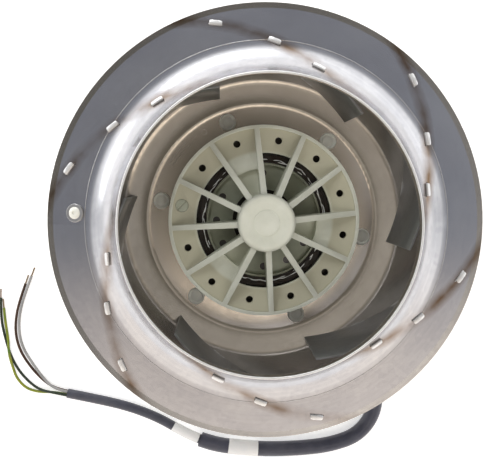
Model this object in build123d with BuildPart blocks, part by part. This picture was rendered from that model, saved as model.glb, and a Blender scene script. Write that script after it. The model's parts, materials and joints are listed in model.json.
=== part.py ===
from build123d import *
import os
from math import acos, asin, atan2, cos, degrees, pi, radians, sin, sqrt, tan

# Cooling fan: the motorised impeller of a backward-curved centrifugal fan.
# An external-rotor motor stands on its stator flange, and its rotor housing carries the sheet-metal impeller.
# Frame: millimetres, +Z up along the rotor axis towards the inlet, origin in the middle of the mounting face.

# Impeller
impeller_radius = 138.0
impeller_height = 135.0
inlet_radius = 90.0
collar_height = 3.0
flare_share = 0.708
shroud_slope = 18.0
lip_width = 3.5
shroud_sheet = 1.2
plate_inset = 1.0
plate_sheet = 1.5
plate_bottom = 33.0
hub_ring_width = 16.0
plate_rise = 6.0
plate_rise_width = 15.0
plate_bend_radius = 8.0

# Blades: upright sheet arcs, with a straight leading edge along the axis
blade_count = 6
blade_sheet = 1.2
blade_inlet_gap = 1.4
blade_inset = 2.0
blade_inlet_angle = 49.2
blade_outlet_angle = 112.6
blade_arc_radius = 140.0
blade_front_drop = 25.0
inner_tab_share = 0.245
middle_tab_share = 0.494
outer_tab_share = 0.819
tab_length = 8.0
tab_fold = 3.4
tab_slot_gap = 0.5
sheet_gap = 0.12
fold_gap = 0.35
hub_gap = 0.3
cutter_reach = 5.0

# Rotor housing: a moulded cup, closed by a ribbed spider that carries the shaft
housing_radius = 64.0
housing_wall = 3.0
housing_bottom = 18.5
housing_top = 63.0
end_wall = 3.5
end_wall_recess = 2.5
rim_width = 2.2
hub_flange_width = 18.0
hub_flange_thickness = 3.5
window_inset = 18.5
rib_count = 12
rib_angle = 94.3
rib_thickness_hub = 3.8
rib_thickness_rim = 3.4
boss_top = 95.0
boss_radius = 18.5
boss_dish_radius = 13.9
boss_dish_depth = 1.6
boss_button_radius = 8.0
boss_button_height = 0.9
boss_edge = 3.0
rib_top_drop = 5.0
closed_windows = 3
closed_window_angle = 109.3
web_thickness = 2.0
web_step_inset = 10.5
web_step_width = 2.5
web_step_height = 4.5
balance_hole_inset = 9.7
balance_hole_radius = 2.4
balance_hole_angle = 109.3
plug_angle = 169.3
plug_inset = 8.0
plug_radius = 4.4
plug_gap = 0.02
plug_slot = 1.0
plug_slot_angle = 45.0

# Rivets that hold the impeller on the housing flange
rivet_count = 6
rivet_offset = 7.6
rivet_angle = 109.3
rivet_head_radius = 5.9
rivet_head_height = 1.6
rivet_shank_radius = 3.0
rivet_tail_radius = 4.4
rivet_tail_height = 1.8
rivet_hole_gap = 0.1

# Balance weight on the shroud, held by a blind rivet
balance_angle = 176.5
balance_clearance = 0.6
washer_radius = 5.8
washer_thickness = 1.0
blind_head_radius = 3.8
blind_head_height = 1.0
blind_shank_radius = 2.0
blind_tail_radius = 2.7
blind_tail_height = 3.0
blind_bore_radius = 1.0
blind_head_taper = 20.0

# Motor
stack_bottom = 26.0
stack_height = 22.0
rotor_core_depth = 14.0
rotor_core_gap = 0.05
bar_count = 24
bar_depth = 7.0
bar_width = 3.2
bar_skin = 1.0
end_ring_height = 4.5
air_gap = 0.4
slot_count = 24
slot_width = 5.0
slot_depth = 9.6
slot_gap = 0.15
tooth_tip = 1.2
slot_mouth = 2.4
winding_step = 2.2
winding_overhang = 8.0
insulator_thickness = 2.0
insulator_gap = 0.3
insulator_rim_height = 6.0
insulator_rim = 1.2
insulator_hole_inset = 6.9
insulator_hole_radius = 2.5
insulator_hole_count = 12

# Stator flange with the bearing tube, wiring chamber and tapped mounting holes
flange_radius = 61.0
flange_height = 16.0
flange_top_wall = 4.0
chamber_outer_radius = 42.0
tube_outer_radius = 21.0
tube_top = 54.5
mount_hole_count = 4
mount_hole_circle = 51.5
mount_hole_radius = 2.5
mount_hole_depth = 12.0
mount_hole_angle = 0.0
wire_hole_radius = 4.0
wire_hole_circle = 31.5
wire_hole_angle = -52.0
cover_bottom = 1.4
cover_thickness = 2.0
cover_gap = 0.3
cover_screw_circle = 36.5
cover_screw_radius = 1.5
cover_screw_head_radius = 2.8
cover_screw_head_height = 1.2
cover_screw_length = 7.0
cover_screw_count = 3
cover_screw_angle = 10.0
screw_post_radius = 3.6

# Shaft and bearings
shaft_radius = 6.0
shaft_bottom = 4.2
shaft_boss_wall = 6.0
bearing_radius = 16.0
bearing_width = 10.0
rear_bearing_bottom = 6.0
bearing_inner_ring_radius = 8.4
shield_gap = 0.3
bearing_fit = 0.02
tube_shoulder = 1.8
tube_lip = 2.0
spring_height = 1.5
spring_gap = 0.2
clip_groove_radius = 5.4
clip_thickness = 1.0
clip_gap = 0.05
clip_radius = 7.8
clip_opening = 5.0

# Cable and its fittings
cable_diameter = 7.0
gland_angle = -52.0
gland_height = 8.0
gland_plug_radius = 6.0
gland_collar_radius = 7.6
gland_collar_width = 3.0
gland_tip_radius = 4.6
gland_length = 23.0
gland_fit = 0.05
sleeve_diameter = 11.2
sleeve_bore = 8.8
label_thickness = 0.2
label_gap = 0.05
cable_label_share = 0.52
sleeve_end_share = 0.48
gland_run = 19.0
bend_share = 0.45
lead_diameter = 2.0
lead_offset = 1.35
lead_first_run = 10.0
lead_clearance = 0.05
lead_tip_diameter = 1.3
lead_tip_length = 7.0

slope = radians(shroud_slope)
flare_radius = flare_share * (impeller_radius - inlet_radius)
plate_radius = impeller_radius - plate_inset
blade_inlet_radius = inlet_radius - blade_inlet_gap
blade_outlet_radius = impeller_radius - blade_inset
blade_front_height = impeller_height - blade_front_drop
tab_radii = [
    blade_inlet_radius + share * (blade_outlet_radius - blade_inlet_radius)
    for share in (inner_tab_share, middle_tab_share, outer_tab_share)
]
plate_top = plate_bottom + plate_sheet
disc_bottom = plate_bottom + plate_rise
disc_top = disc_bottom + plate_sheet
hub_ring_radius = housing_radius + hub_ring_width
hub_flange_radius = housing_radius + hub_flange_width
rivet_circle = housing_radius + rivet_offset
window_outer_radius = housing_radius - window_inset
web_step_radius = window_outer_radius - web_step_inset
balance_hole_circle = housing_radius - balance_hole_inset
plug_circle = housing_radius - plug_inset
housing_bore = housing_radius - housing_wall
rotor_core_bore = housing_bore - rotor_core_depth
stator_radius = rotor_core_bore - air_gap
slot_bottom_radius = stator_radius - slot_depth
winding_inner_radius = slot_bottom_radius + winding_step
insulator_outer_radius = winding_inner_radius - insulator_gap
insulator_hole_circle = insulator_outer_radius - insulator_hole_inset
front_bearing_bottom = tube_top - tube_lip - bearing_width
end_face = housing_top - end_wall_recess
end_inside = end_face - end_wall
cover_top = cover_bottom + cover_thickness
shaft_top = boss_top - shaft_boss_wall

os.makedirs("parts", exist_ok=True)


def polar(radius, angle):
    """Point of the XY plane at a radius and an angle in degrees."""
    return (radius * cos(radians(angle)), radius * sin(radians(angle)))


def finish(part, name):
    """Label a finished piece and write it to its own file."""
    part.label = name
    export_step(part, "parts/" + name + ".step")


# Shroud profile. The upper face is the master line, and a depth below it gives a parallel line.
flare_centre = (inlet_radius + flare_radius, impeller_height - collar_height)
knee_radius = impeller_radius - lip_width
flare_start_r = flare_centre[0] - flare_radius * sin(slope)
flare_start_z = flare_centre[1] - flare_radius * cos(slope)
lip_top = flare_start_z - (knee_radius - flare_start_r) * tan(slope)
balance_radius = flare_start_r + washer_radius + balance_clearance

# Centre of the first blade's arc: its radius and angle follow from the arc's two ends
blade_start = Vector(*polar(blade_inlet_radius, blade_inlet_angle), 0)
blade_end = Vector(*polar(blade_outlet_radius, blade_outlet_angle), 0)
blade_chord = blade_end - blade_start
blade_depth = sqrt(blade_arc_radius**2 - (blade_chord.length / 2.0) ** 2)
arc_centre = (blade_start + blade_end) * 0.5 + Vector(-blade_chord.Y, blade_chord.X, 0).normalized() * blade_depth
blade_centre_radius = arc_centre.length
blade_centre_angle = degrees(atan2(arc_centre.Y, arc_centre.X)) % 360.0


def shroud_points(depth):
    """Lip edge, knee, flare start, flare middle, flare end and collar edge of the line at a depth."""
    reach = flare_radius + depth
    start = (flare_centre[0] - reach * sin(slope), flare_centre[1] - reach * cos(slope))
    half_turn = (slope + radians(90.0)) / 2.0
    middle = (flare_centre[0] - reach * sin(half_turn), flare_centre[1] - reach * cos(half_turn))
    end = (flare_centre[0] - reach, flare_centre[1])
    knee_z = lip_top - depth
    knee = (start[0] + (start[1] - knee_z) / tan(slope), knee_z)
    return [(impeller_radius, knee_z), knee, start, middle, end, (inlet_radius - depth, impeller_height)]


def shroud_height(radius):
    """Height of the shroud's upper face at a radius."""
    if radius >= flare_start_r:
        return flare_start_z - (radius - flare_start_r) * tan(slope)
    return flare_centre[1] - sqrt(flare_radius**2 - (flare_centre[0] - radius) ** 2)


def shroud_tilt(radius):
    """Slope of the shroud's upper face at a radius, in radians."""
    if radius >= flare_start_r:
        return slope
    return asin((flare_centre[0] - radius) / flare_radius)


def blade_angle(radius, blade):
    """Polar angle at which the arc of a blade crosses a radius."""
    d = blade_centre_radius
    across = acos((radius**2 + d**2 - blade_arc_radius**2) / (2.0 * radius * d))
    return blade_centre_angle - blade * 360.0 / blade_count - degrees(across)


def blade_centre(blade):
    """Centre of a blade's arc."""
    return polar(blade_centre_radius, blade_centre_angle - blade * 360.0 / blade_count)


def blade_tangent(radius, blade):
    """Unit direction of a blade's arc at a radius, towards the outlet."""
    x, y = polar(radius, blade_angle(radius, blade))
    cx, cy = blade_centre(blade)
    return ((cy - y) / blade_arc_radius, (x - cx) / blade_arc_radius)


def tab_upright_plane(radius, blade, height):
    """Plane of the blade's sheet at a tab: x along the sheet, y up, z across it towards the rim."""
    x, y = polar(radius, blade_angle(radius, blade))
    tx, ty = blade_tangent(radius, blade)
    return Plane(origin=(x, y, height), x_dir=(tx, ty, 0), z_dir=(ty, -tx, 0))


def tab_rise(radius, blade):
    """Rise of the shroud per millimetre along the blade's sheet at a tab."""
    x, y = polar(radius, blade_angle(radius, blade))
    tx, ty = blade_tangent(radius, blade)
    outward = (x * tx + y * ty) / radius
    return -outward * tan(shroud_tilt(radius))


def tab_surface_plane(radius, blade):
    """Plane that touches the shroud at a tab: x along the fold, y away from the slot, z off the sheet."""
    x, y = polar(radius, blade_angle(radius, blade))
    tilt = shroud_tilt(radius)
    normal = Vector(x / radius * sin(tilt), y / radius * sin(tilt), cos(tilt))
    tx, ty = blade_tangent(radius, blade)
    along = Vector(tx, ty, tab_rise(radius, blade)).normalized()
    return Plane(origin=(x, y, shroud_height(radius)), x_dir=along, z_dir=normal)


# Plane of the balance washer, square to the shroud's slope
balance_plane = Plane(
    origin=(*polar(balance_radius, balance_angle), shroud_height(balance_radius)),
    x_dir=(*polar(1.0, balance_angle + 90.0), 0),
    z_dir=(*polar(sin(slope), balance_angle), cos(slope)),
)

# Shroud: front ring of the impeller, with the flared inlet collar and a slot for each blade tab
with BuildPart() as shroud:
    with BuildSketch(Plane.XZ):
        with BuildLine():
            upper = shroud_points(0.0)
            lower = shroud_points(shroud_sheet)
            Polyline(upper[0], upper[1], upper[2])
            ThreePointArc(upper[2], upper[3], upper[4])
            Polyline(upper[4], upper[5], lower[5], lower[4])
            ThreePointArc(lower[4], lower[3], lower[2])
            Polyline(lower[2], lower[1], lower[0], upper[0])
        make_face()
    revolve(axis=Axis.Z)
    for blade in range(blade_count):
        for radius in tab_radii:
            upright = tab_upright_plane(radius, blade, shroud_height(radius))
            with BuildSketch(upright):
                Rectangle(tab_length + 2.0 * tab_slot_gap, 2.0 * cutter_reach)
            extrude(amount=blade_sheet / 2.0 + sheet_gap, both=True, mode=Mode.SUBTRACT)
    with BuildSketch(balance_plane):
        Circle(blind_shank_radius + rivet_hole_gap)
    extrude(amount=cutter_reach, both=True, mode=Mode.SUBTRACT)
finish(shroud.part, "shroud")


def plate_line(side):
    """Hub ring, soft rise and outer disc of the back plate's upper (side 1) or lower (side 0) face."""
    rise_angle = atan2(plate_rise, plate_rise_width)
    shift = plate_sheet * tan(rise_angle / 2.0) * side
    bottom = plate_bottom + plate_sheet * side
    inner = housing_radius + hub_gap
    return [
        (inner, bottom),
        (hub_ring_radius - shift, bottom),
        (hub_ring_radius + plate_rise_width - shift, bottom + plate_rise),
        (plate_radius, bottom + plate_rise),
    ]


# Back plate: a recessed hub ring, a soft rise and a flat outer disc with a slot for each lower tab
with BuildPart() as back_plate:
    with BuildSketch(Plane.XZ):
        with BuildLine():
            top_line = plate_line(1)
            bottom_line = plate_line(0)
            FilletPolyline(*top_line, radius=[plate_bend_radius, plate_bend_radius + plate_sheet])
            Line(top_line[3], bottom_line[3])
            FilletPolyline(*bottom_line, radius=[plate_bend_radius + plate_sheet, plate_bend_radius])
            Line(bottom_line[0], top_line[0])
        make_face()
    revolve(axis=Axis.Z)
    with BuildSketch(Plane.XY.offset(plate_bottom)):
        with PolarLocations(rivet_circle, rivet_count, rivet_angle):
            Circle(rivet_shank_radius + rivet_hole_gap)
    extrude(amount=plate_sheet, mode=Mode.SUBTRACT)
    for blade in range(blade_count):
        for radius in tab_radii:
            with BuildSketch(tab_upright_plane(radius, blade, disc_bottom)):
                Rectangle(tab_length + 2.0 * tab_slot_gap, 2.0 * cutter_reach)
            extrude(amount=blade_sheet / 2.0 + sheet_gap, both=True, mode=Mode.SUBTRACT)
finish(back_plate.part, "back_plate")

# First blade: a curved sheet between the plate and the shroud, with three tabs folded over on either side
with BuildPart() as first_blade:
    middle_radius = (blade_inlet_radius + blade_outlet_radius) / 2.0
    floor_height = disc_top + sheet_gap
    with BuildSketch(Plane.XY.offset(floor_height)):
        with BuildLine():
            ThreePointArc(
                polar(blade_inlet_radius, blade_angle(blade_inlet_radius, 0)),
                polar(middle_radius, blade_angle(middle_radius, 0)),
                polar(blade_outlet_radius, blade_angle(blade_outlet_radius, 0)),
            )
        trace(line_width=blade_sheet)
    extrude(amount=impeller_height)
    with BuildSketch(Plane.XZ):
        with BuildLine():
            edge = shroud_points(shroud_sheet + sheet_gap)
            inside = blade_inlet_radius - cutter_reach
            beyond = impeller_radius + cutter_reach
            reach = flare_radius + shroud_sheet + sheet_gap
            quarter = (3.0 * slope + radians(90.0)) / 4.0
            quarter_point = (flare_centre[0] - reach * sin(quarter), flare_centre[1] - reach * cos(quarter))
            Polyline((inside, floor_height), (inside, blade_front_height), edge[3])
            ThreePointArc(edge[3], quarter_point, edge[2])
            Polyline(edge[2], edge[1], (beyond, edge[1][1]), (beyond, floor_height), (inside, floor_height))
        make_face()
    revolve(axis=Axis.Z, mode=Mode.INTERSECT)
    for radius in tab_radii:
        rise = tab_rise(radius, 0) * tab_length / 2.0
        with BuildSketch(tab_upright_plane(radius, 0, shroud_height(radius))):
            with BuildLine():
                Polyline(
                    (-tab_length / 2.0, -cutter_reach),
                    (tab_length / 2.0, -cutter_reach),
                    (tab_length / 2.0, rise + fold_gap + blade_sheet / 2.0),
                    (-tab_length / 2.0, -rise + fold_gap + blade_sheet / 2.0),
                    close=True,
                )
            make_face()
        extrude(amount=blade_sheet / 2.0, both=True)
        with BuildSketch(tab_surface_plane(radius, 0).offset(fold_gap)):
            with Locations((0, -(tab_fold - blade_sheet) / 2.0)):
                Rectangle(tab_length, tab_fold)
        extrude(amount=blade_sheet)
        with BuildSketch(tab_upright_plane(radius, 0, disc_top)):
            with Locations((0, -(plate_sheet + blade_sheet) / 2.0)):
                Rectangle(tab_length, plate_sheet + 3.0 * blade_sheet)
        extrude(amount=blade_sheet / 2.0, both=True)
        lower_fold = tab_upright_plane(radius, 0, disc_bottom - sheet_gap - blade_sheet / 2.0)
        with BuildSketch(lower_fold.offset(-blade_sheet / 2.0)):
            Rectangle(tab_length, blade_sheet)
        extrude(amount=tab_fold)

# The other blades are copies of the first, a sixth of a turn apart
for blade in range(blade_count):
    with BuildPart() as blade_copy:
        add(first_blade.part, rotation=(0, 0, -blade * 360.0 / blade_count))
    finish(blade_copy.part, "blade_" + str(blade + 1))

# Rotor housing: ribs first, trimmed to a cone, then the cup, its flange, the boss and the closed windows
window_pitch = 360.0 / rib_count
with BuildPart() as rotor_housing:
    with BuildSketch(Plane.XY.offset(end_inside)):
        with PolarLocations(0, rib_count, rib_angle):
            Polygon(
                (boss_radius / 2.0, -rib_thickness_hub / 2.0),
                (housing_bore + rim_width / 2.0, -rib_thickness_rim / 2.0),
                (housing_bore + rim_width / 2.0, rib_thickness_rim / 2.0),
                (boss_radius / 2.0, rib_thickness_hub / 2.0),
                align=None,
            )
    extrude(amount=boss_top)
    with BuildSketch(Plane.XZ):
        with BuildLine():
            Polyline(
                (0, end_inside),
                (housing_radius, end_inside),
                (housing_radius, housing_top),
                (housing_radius - rim_width, housing_top),
                (boss_radius, boss_top - rib_top_drop),
                (0, boss_top - rib_top_drop),
                close=True,
            )
        make_face()
    revolve(axis=Axis.Z, mode=Mode.INTERSECT)
    with BuildSketch(Plane.XZ):
        with BuildLine():
            Polyline(
                (housing_bore, housing_bottom),
                (housing_radius, housing_bottom),
                (housing_radius, plate_bottom - hub_flange_thickness),
                (hub_flange_radius, plate_bottom - hub_flange_thickness),
                (hub_flange_radius, plate_bottom),
                (housing_radius, plate_bottom),
                (housing_radius, housing_top),
                (housing_radius - rim_width, housing_top),
                (housing_radius - rim_width, end_face),
                (window_outer_radius, end_face),
                (window_outer_radius, end_inside),
                (housing_bore, end_inside),
                close=True,
            )
        make_face()
        with BuildLine():
            Polyline(
                (shaft_radius + bearing_fit, end_inside),
                (boss_radius, end_inside),
                (boss_radius, boss_top - boss_edge),
            )
            JernArc(start=(boss_radius, boss_top - boss_edge), tangent=(0, 1), radius=boss_edge, arc_size=90)
            Polyline(
                (boss_radius - boss_edge, boss_top),
                (boss_dish_radius, boss_top),
                (boss_button_radius, boss_top - boss_dish_depth),
                (boss_button_radius, boss_top - boss_dish_depth + boss_button_height),
                (0, boss_top - boss_dish_depth + boss_button_height),
                (0, shaft_top + bearing_fit),
                (shaft_radius + bearing_fit, shaft_top + bearing_fit),
                (shaft_radius + bearing_fit, end_inside),
            )
        make_face()
    revolve(axis=Axis.Z)
    for closed in range(closed_windows):
        middle_angle = closed_window_angle + closed * 360.0 / closed_windows
        with BuildSketch(Plane.XZ.rotated((0, 0, middle_angle - window_pitch / 2.0))):
            with BuildLine():
                Polyline(
                    (boss_radius - boss_edge, end_inside),
                    (window_outer_radius + web_thickness, end_inside),
                    (window_outer_radius + web_thickness, end_face),
                    (web_step_radius + web_step_width, end_face + web_step_height),
                    (web_step_radius, end_face + web_step_height),
                    (web_step_radius, end_inside + web_thickness),
                    (boss_radius - boss_edge, end_inside + web_thickness),
                    close=True,
                )
            make_face()
        revolve(axis=Axis.Z, revolution_arc=window_pitch)
    with BuildSketch(Plane.XY.offset(end_inside)):
        Circle(shaft_radius + bearing_fit)
    extrude(amount=shaft_top + bearing_fit - end_inside, mode=Mode.SUBTRACT)
    with BuildSketch(Plane.XY.offset(end_inside)):
        with PolarLocations(balance_hole_circle, rib_count, balance_hole_angle):
            Circle(balance_hole_radius)
        with Locations(polar(plug_circle, plug_angle)):
            Circle(plug_radius)
    extrude(amount=end_wall, mode=Mode.SUBTRACT)
    with BuildSketch(Plane.XY.offset(plate_bottom - hub_flange_thickness)):
        with PolarLocations(rivet_circle, rivet_count, rivet_angle):
            Circle(rivet_shank_radius + rivet_hole_gap)
    extrude(amount=hub_flange_thickness, mode=Mode.SUBTRACT)
finish(rotor_housing.part, "rotor_housing")

# Balance screw: a slotted grub screw in a wider hole of the housing's face
with BuildPart() as balance_screw:
    with BuildSketch(Plane.XY.offset(end_inside)):
        with Locations(polar(plug_circle, plug_angle)):
            Circle(plug_radius - plug_gap)
    extrude(amount=end_wall)
    with BuildSketch(Plane.XY.offset(end_face)):
        with Locations(Location((*polar(plug_circle, plug_angle), 0), (0, 0, plug_slot_angle))):
            Rectangle(2.0 * plug_radius, plug_slot)
    extrude(amount=-plug_slot, mode=Mode.SUBTRACT)
finish(balance_screw.part, "balance_screw")

# Rivets through the hub ring of the back plate and the housing flange
with BuildPart() as impeller_rivets:
    with BuildSketch(Plane.XY.offset(plate_top)):
        with PolarLocations(rivet_circle, rivet_count, rivet_angle):
            Circle(rivet_head_radius)
    extrude(amount=rivet_head_height)
    with BuildSketch(Plane.XY.offset(plate_top)):
        with PolarLocations(rivet_circle, rivet_count, rivet_angle):
            Circle(rivet_shank_radius)
    extrude(amount=-(plate_sheet + hub_flange_thickness + rivet_tail_height))
    with BuildSketch(Plane.XY.offset(plate_bottom - hub_flange_thickness)):
        with PolarLocations(rivet_circle, rivet_count, rivet_angle):
            Circle(rivet_tail_radius)
    extrude(amount=-rivet_tail_height)
finish(impeller_rivets.part, "impeller_rivets")

# Balance washer and its blind rivet
with BuildPart() as balance_washer:
    with BuildSketch(balance_plane.offset(bearing_fit)):
        Circle(washer_radius)
        Circle(blind_shank_radius + rivet_hole_gap, mode=Mode.SUBTRACT)
    extrude(amount=washer_thickness)
finish(balance_washer.part, "balance_washer")

with BuildPart() as balance_rivet:
    with BuildSketch(balance_plane.offset(bearing_fit + washer_thickness)):
        Circle(blind_head_radius)
    extrude(amount=blind_head_height, taper=blind_head_taper)
    with BuildSketch(balance_plane.offset(bearing_fit + washer_thickness)):
        Circle(blind_shank_radius)
    extrude(amount=-(washer_thickness + shroud_sheet + blind_tail_height))
    with BuildSketch(balance_plane.offset(-shroud_sheet - rivet_hole_gap)):
        Circle(blind_tail_radius)
    extrude(amount=-blind_tail_height)
    with BuildSketch(balance_plane.offset(washer_thickness + blind_head_height)):
        Circle(blind_bore_radius)
    extrude(amount=blind_head_height, both=True, mode=Mode.SUBTRACT)
finish(balance_rivet.part, "balance_rivet")

# Rotor core: the ring of laminations in the housing, with a closed slot for each bar of the cage
bar_middle = rotor_core_bore + bar_skin + bar_depth / 2.0
with BuildPart() as rotor_core:
    with BuildSketch(Plane.XY.offset(stack_bottom)):
        Circle(housing_bore - rotor_core_gap)
        Circle(rotor_core_bore, mode=Mode.SUBTRACT)
        with PolarLocations(bar_middle, bar_count):
            Rectangle(bar_depth, bar_width, mode=Mode.SUBTRACT)
    extrude(amount=stack_height)
finish(rotor_core.part, "rotor_core")

# Rotor cage: cast aluminium bars joined by a ring at each end of the core
with BuildPart() as rotor_cage:
    with BuildSketch(Plane.XY.offset(stack_bottom)):
        with PolarLocations(bar_middle, bar_count):
            Rectangle(bar_depth, bar_width)
    extrude(amount=stack_height)
    for ring_bottom in (stack_bottom - end_ring_height, stack_bottom + stack_height):
        with BuildSketch(Plane.XY.offset(ring_bottom)):
            Circle(bar_middle + bar_depth / 2.0 + bar_skin)
            Circle(rotor_core_bore + bar_skin / 2.0, mode=Mode.SUBTRACT)
        extrude(amount=end_ring_height)
finish(rotor_cage.part, "rotor_cage")

# Shaft: pressed into the boss, with a groove for the retaining clip below the rear bearing
clip_top = rear_bearing_bottom - clip_gap
with BuildPart() as shaft:
    with BuildSketch(Plane.XY.offset(shaft_bottom)):
        Circle(shaft_radius)
    extrude(amount=shaft_top - shaft_bottom)
    with BuildSketch(Plane.XY.offset(clip_top - clip_thickness - clip_gap)):
        Circle(shaft_radius)
        Circle(clip_groove_radius, mode=Mode.SUBTRACT)
    extrude(amount=clip_thickness + 2.0 * clip_gap, mode=Mode.SUBTRACT)
finish(shaft.part, "shaft")

with BuildPart() as shaft_clip:
    with BuildSketch(Plane.XY.offset(clip_top - clip_thickness)):
        Circle(clip_radius)
        Circle(clip_groove_radius + bearing_fit, mode=Mode.SUBTRACT)
        with Locations((clip_radius, 0)):
            Rectangle(2.0 * clip_radius, clip_opening, mode=Mode.SUBTRACT)
    extrude(amount=clip_thickness)
finish(shaft_clip.part, "shaft_clip")

# Bearings: a sealed ball bearing at each end of the tube, its inner ring on the shaft
for bearing_name, bearing_bottom in (("rear", rear_bearing_bottom), ("front", front_bearing_bottom)):
    with BuildPart() as inner_ring:
        with BuildSketch(Plane.XY.offset(bearing_bottom)):
            Circle(bearing_inner_ring_radius)
            Circle(shaft_radius + bearing_fit, mode=Mode.SUBTRACT)
        extrude(amount=bearing_width)
    finish(inner_ring.part, bearing_name + "_bearing_inner_ring")
    with BuildPart() as outer_ring:
        with BuildSketch(Plane.XY.offset(bearing_bottom)):
            Circle(bearing_radius)
            Circle(bearing_inner_ring_radius + shield_gap, mode=Mode.SUBTRACT)
        extrude(amount=bearing_width)
    finish(outer_ring.part, bearing_name + "_bearing_outer_ring")

# Preload spring between the rear bearing and its shoulder in the tube
with BuildPart() as preload_spring:
    with BuildSketch(Plane.XY.offset(rear_bearing_bottom + bearing_width)):
        Circle(bearing_radius - spring_gap)
        Circle(bearing_radius - tube_shoulder, mode=Mode.SUBTRACT)
    extrude(amount=spring_height)
finish(preload_spring.part, "preload_spring")

# Stator core: laminations on the tube, with a half-closed slot for each coil side
slot_top_radius = stator_radius - tooth_tip
slot_middle = (slot_bottom_radius + slot_top_radius) / 2.0
with BuildPart() as stator_core:
    with BuildSketch(Plane.XY.offset(stack_bottom)):
        Circle(stator_radius)
        Circle(tube_outer_radius + bearing_fit, mode=Mode.SUBTRACT)
        with PolarLocations(slot_middle, slot_count):
            Rectangle(slot_top_radius - slot_bottom_radius, slot_width, mode=Mode.SUBTRACT)
        with PolarLocations(stator_radius, slot_count):
            Rectangle(4.0 * tooth_tip, slot_mouth, mode=Mode.SUBTRACT)
    extrude(amount=stack_height)
finish(stator_core.part, "stator_core")

# Winding: coil sides in the slots and a bound overhang ring at each end of the core
with BuildPart() as stator_winding:
    with BuildSketch(Plane.XY.offset(stack_bottom - winding_overhang / 2.0)):
        with PolarLocations(slot_middle, slot_count):
            Rectangle(slot_top_radius - slot_bottom_radius - 2.0 * slot_gap, slot_width - 2.0 * slot_gap)
    extrude(amount=stack_height + winding_overhang)
    for ring_bottom in (stack_bottom - winding_overhang, stack_bottom + stack_height + slot_gap):
        with BuildSketch(Plane.XY.offset(ring_bottom)):
            Circle(slot_top_radius - 4.0 * slot_gap)
            Circle(winding_inner_radius, mode=Mode.SUBTRACT)
        extrude(amount=winding_overhang - slot_gap)
    with BuildSketch(Plane.XZ):
        with Locations(((tube_outer_radius + winding_inner_radius) / 2.0, stack_bottom + stack_height / 2.0)):
            Rectangle(winding_inner_radius - tube_outer_radius, stack_height + 2.0 * winding_overhang)
        with Locations(((tube_outer_radius + winding_inner_radius) / 2.0, stack_bottom + stack_height / 2.0)):
            Rectangle(winding_inner_radius - tube_outer_radius, stack_height, mode=Mode.SUBTRACT)
    revolve(axis=Axis.Z, mode=Mode.SUBTRACT)
finish(stator_winding.part, "stator_winding")

# Insulating end plates, with a rim that holds the overhang and a ring of holes
for insulator_name, insulator_base, side in (
    ("rear", stack_bottom, -1.0),
    ("front", stack_bottom + stack_height, 1.0),
):
    with BuildPart() as insulator:
        with BuildSketch(Plane.XY.offset(insulator_base)):
            Circle(insulator_outer_radius)
            Circle(tube_outer_radius + bearing_fit, mode=Mode.SUBTRACT)
            with PolarLocations(insulator_hole_circle, insulator_hole_count):
                Circle(insulator_hole_radius, mode=Mode.SUBTRACT)
        extrude(amount=side * insulator_thickness)
        with BuildSketch(Plane.XY.offset(insulator_base)):
            Circle(insulator_outer_radius)
            Circle(insulator_outer_radius - insulator_rim, mode=Mode.SUBTRACT)
        extrude(amount=side * insulator_rim_height)
    finish(insulator.part, insulator_name + "_insulator")

# Stator flange: mounting disc with a wiring chamber below, and the tube that holds bearings and stator core
gland_plane = Plane(origin=(0, 0, gland_height), x_dir=(0, 0, -1), z_dir=(*polar(1.0, gland_angle), 0))
with BuildPart() as stator_flange:
    with BuildSketch(Plane.XZ):
        with BuildLine():
            seat = bearing_radius + bearing_fit
            Polyline(
                (flange_radius, 0),
                (flange_radius, flange_height),
                (tube_outer_radius, flange_height),
                (tube_outer_radius, tube_top),
                (seat, tube_top),
                (seat, front_bearing_bottom),
                (bearing_radius - tube_shoulder, front_bearing_bottom),
                (bearing_radius - tube_shoulder, rear_bearing_bottom + bearing_width + spring_height),
                (seat, rear_bearing_bottom + bearing_width + spring_height),
                (seat, cover_top),
                (tube_outer_radius, cover_top),
                (tube_outer_radius, flange_height - flange_top_wall),
                (chamber_outer_radius, flange_height - flange_top_wall),
                (chamber_outer_radius, 0),
                close=True,
            )
        make_face()
    revolve(axis=Axis.Z)
    with BuildSketch(Plane.XY.offset(cover_top)):
        with PolarLocations(cover_screw_circle, cover_screw_count, cover_screw_angle):
            Circle(screw_post_radius)
    extrude(amount=flange_height - cover_top - flange_top_wall / 2.0)
    with BuildSketch(Plane.XY.offset(cover_top)):
        with PolarLocations(cover_screw_circle, cover_screw_count, cover_screw_angle):
            Circle(cover_screw_radius + bearing_fit)
    extrude(amount=cover_screw_length, mode=Mode.SUBTRACT)
    with BuildSketch(Plane.XY):
        with PolarLocations(mount_hole_circle, mount_hole_count, mount_hole_angle):
            Circle(mount_hole_radius)
    extrude(amount=mount_hole_depth, mode=Mode.SUBTRACT)
    with BuildSketch(Plane.XY.offset(flange_height)):
        with Locations(polar(wire_hole_circle, wire_hole_angle)):
            Circle(wire_hole_radius)
    extrude(amount=-flange_top_wall, mode=Mode.SUBTRACT)
    with BuildSketch(gland_plane.offset(chamber_outer_radius - screw_post_radius)):
        Circle(gland_plug_radius + gland_fit)
    extrude(amount=flange_radius, mode=Mode.SUBTRACT)
finish(stator_flange.part, "stator_flange")

# Cover of the wiring chamber and its screws
with BuildPart() as terminal_cover:
    with BuildSketch(Plane.XY.offset(cover_bottom)):
        Circle(chamber_outer_radius - cover_gap)
        with PolarLocations(cover_screw_circle, cover_screw_count, cover_screw_angle):
            Circle(cover_screw_radius + rivet_hole_gap, mode=Mode.SUBTRACT)
    extrude(amount=cover_thickness)
finish(terminal_cover.part, "terminal_cover")

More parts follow.
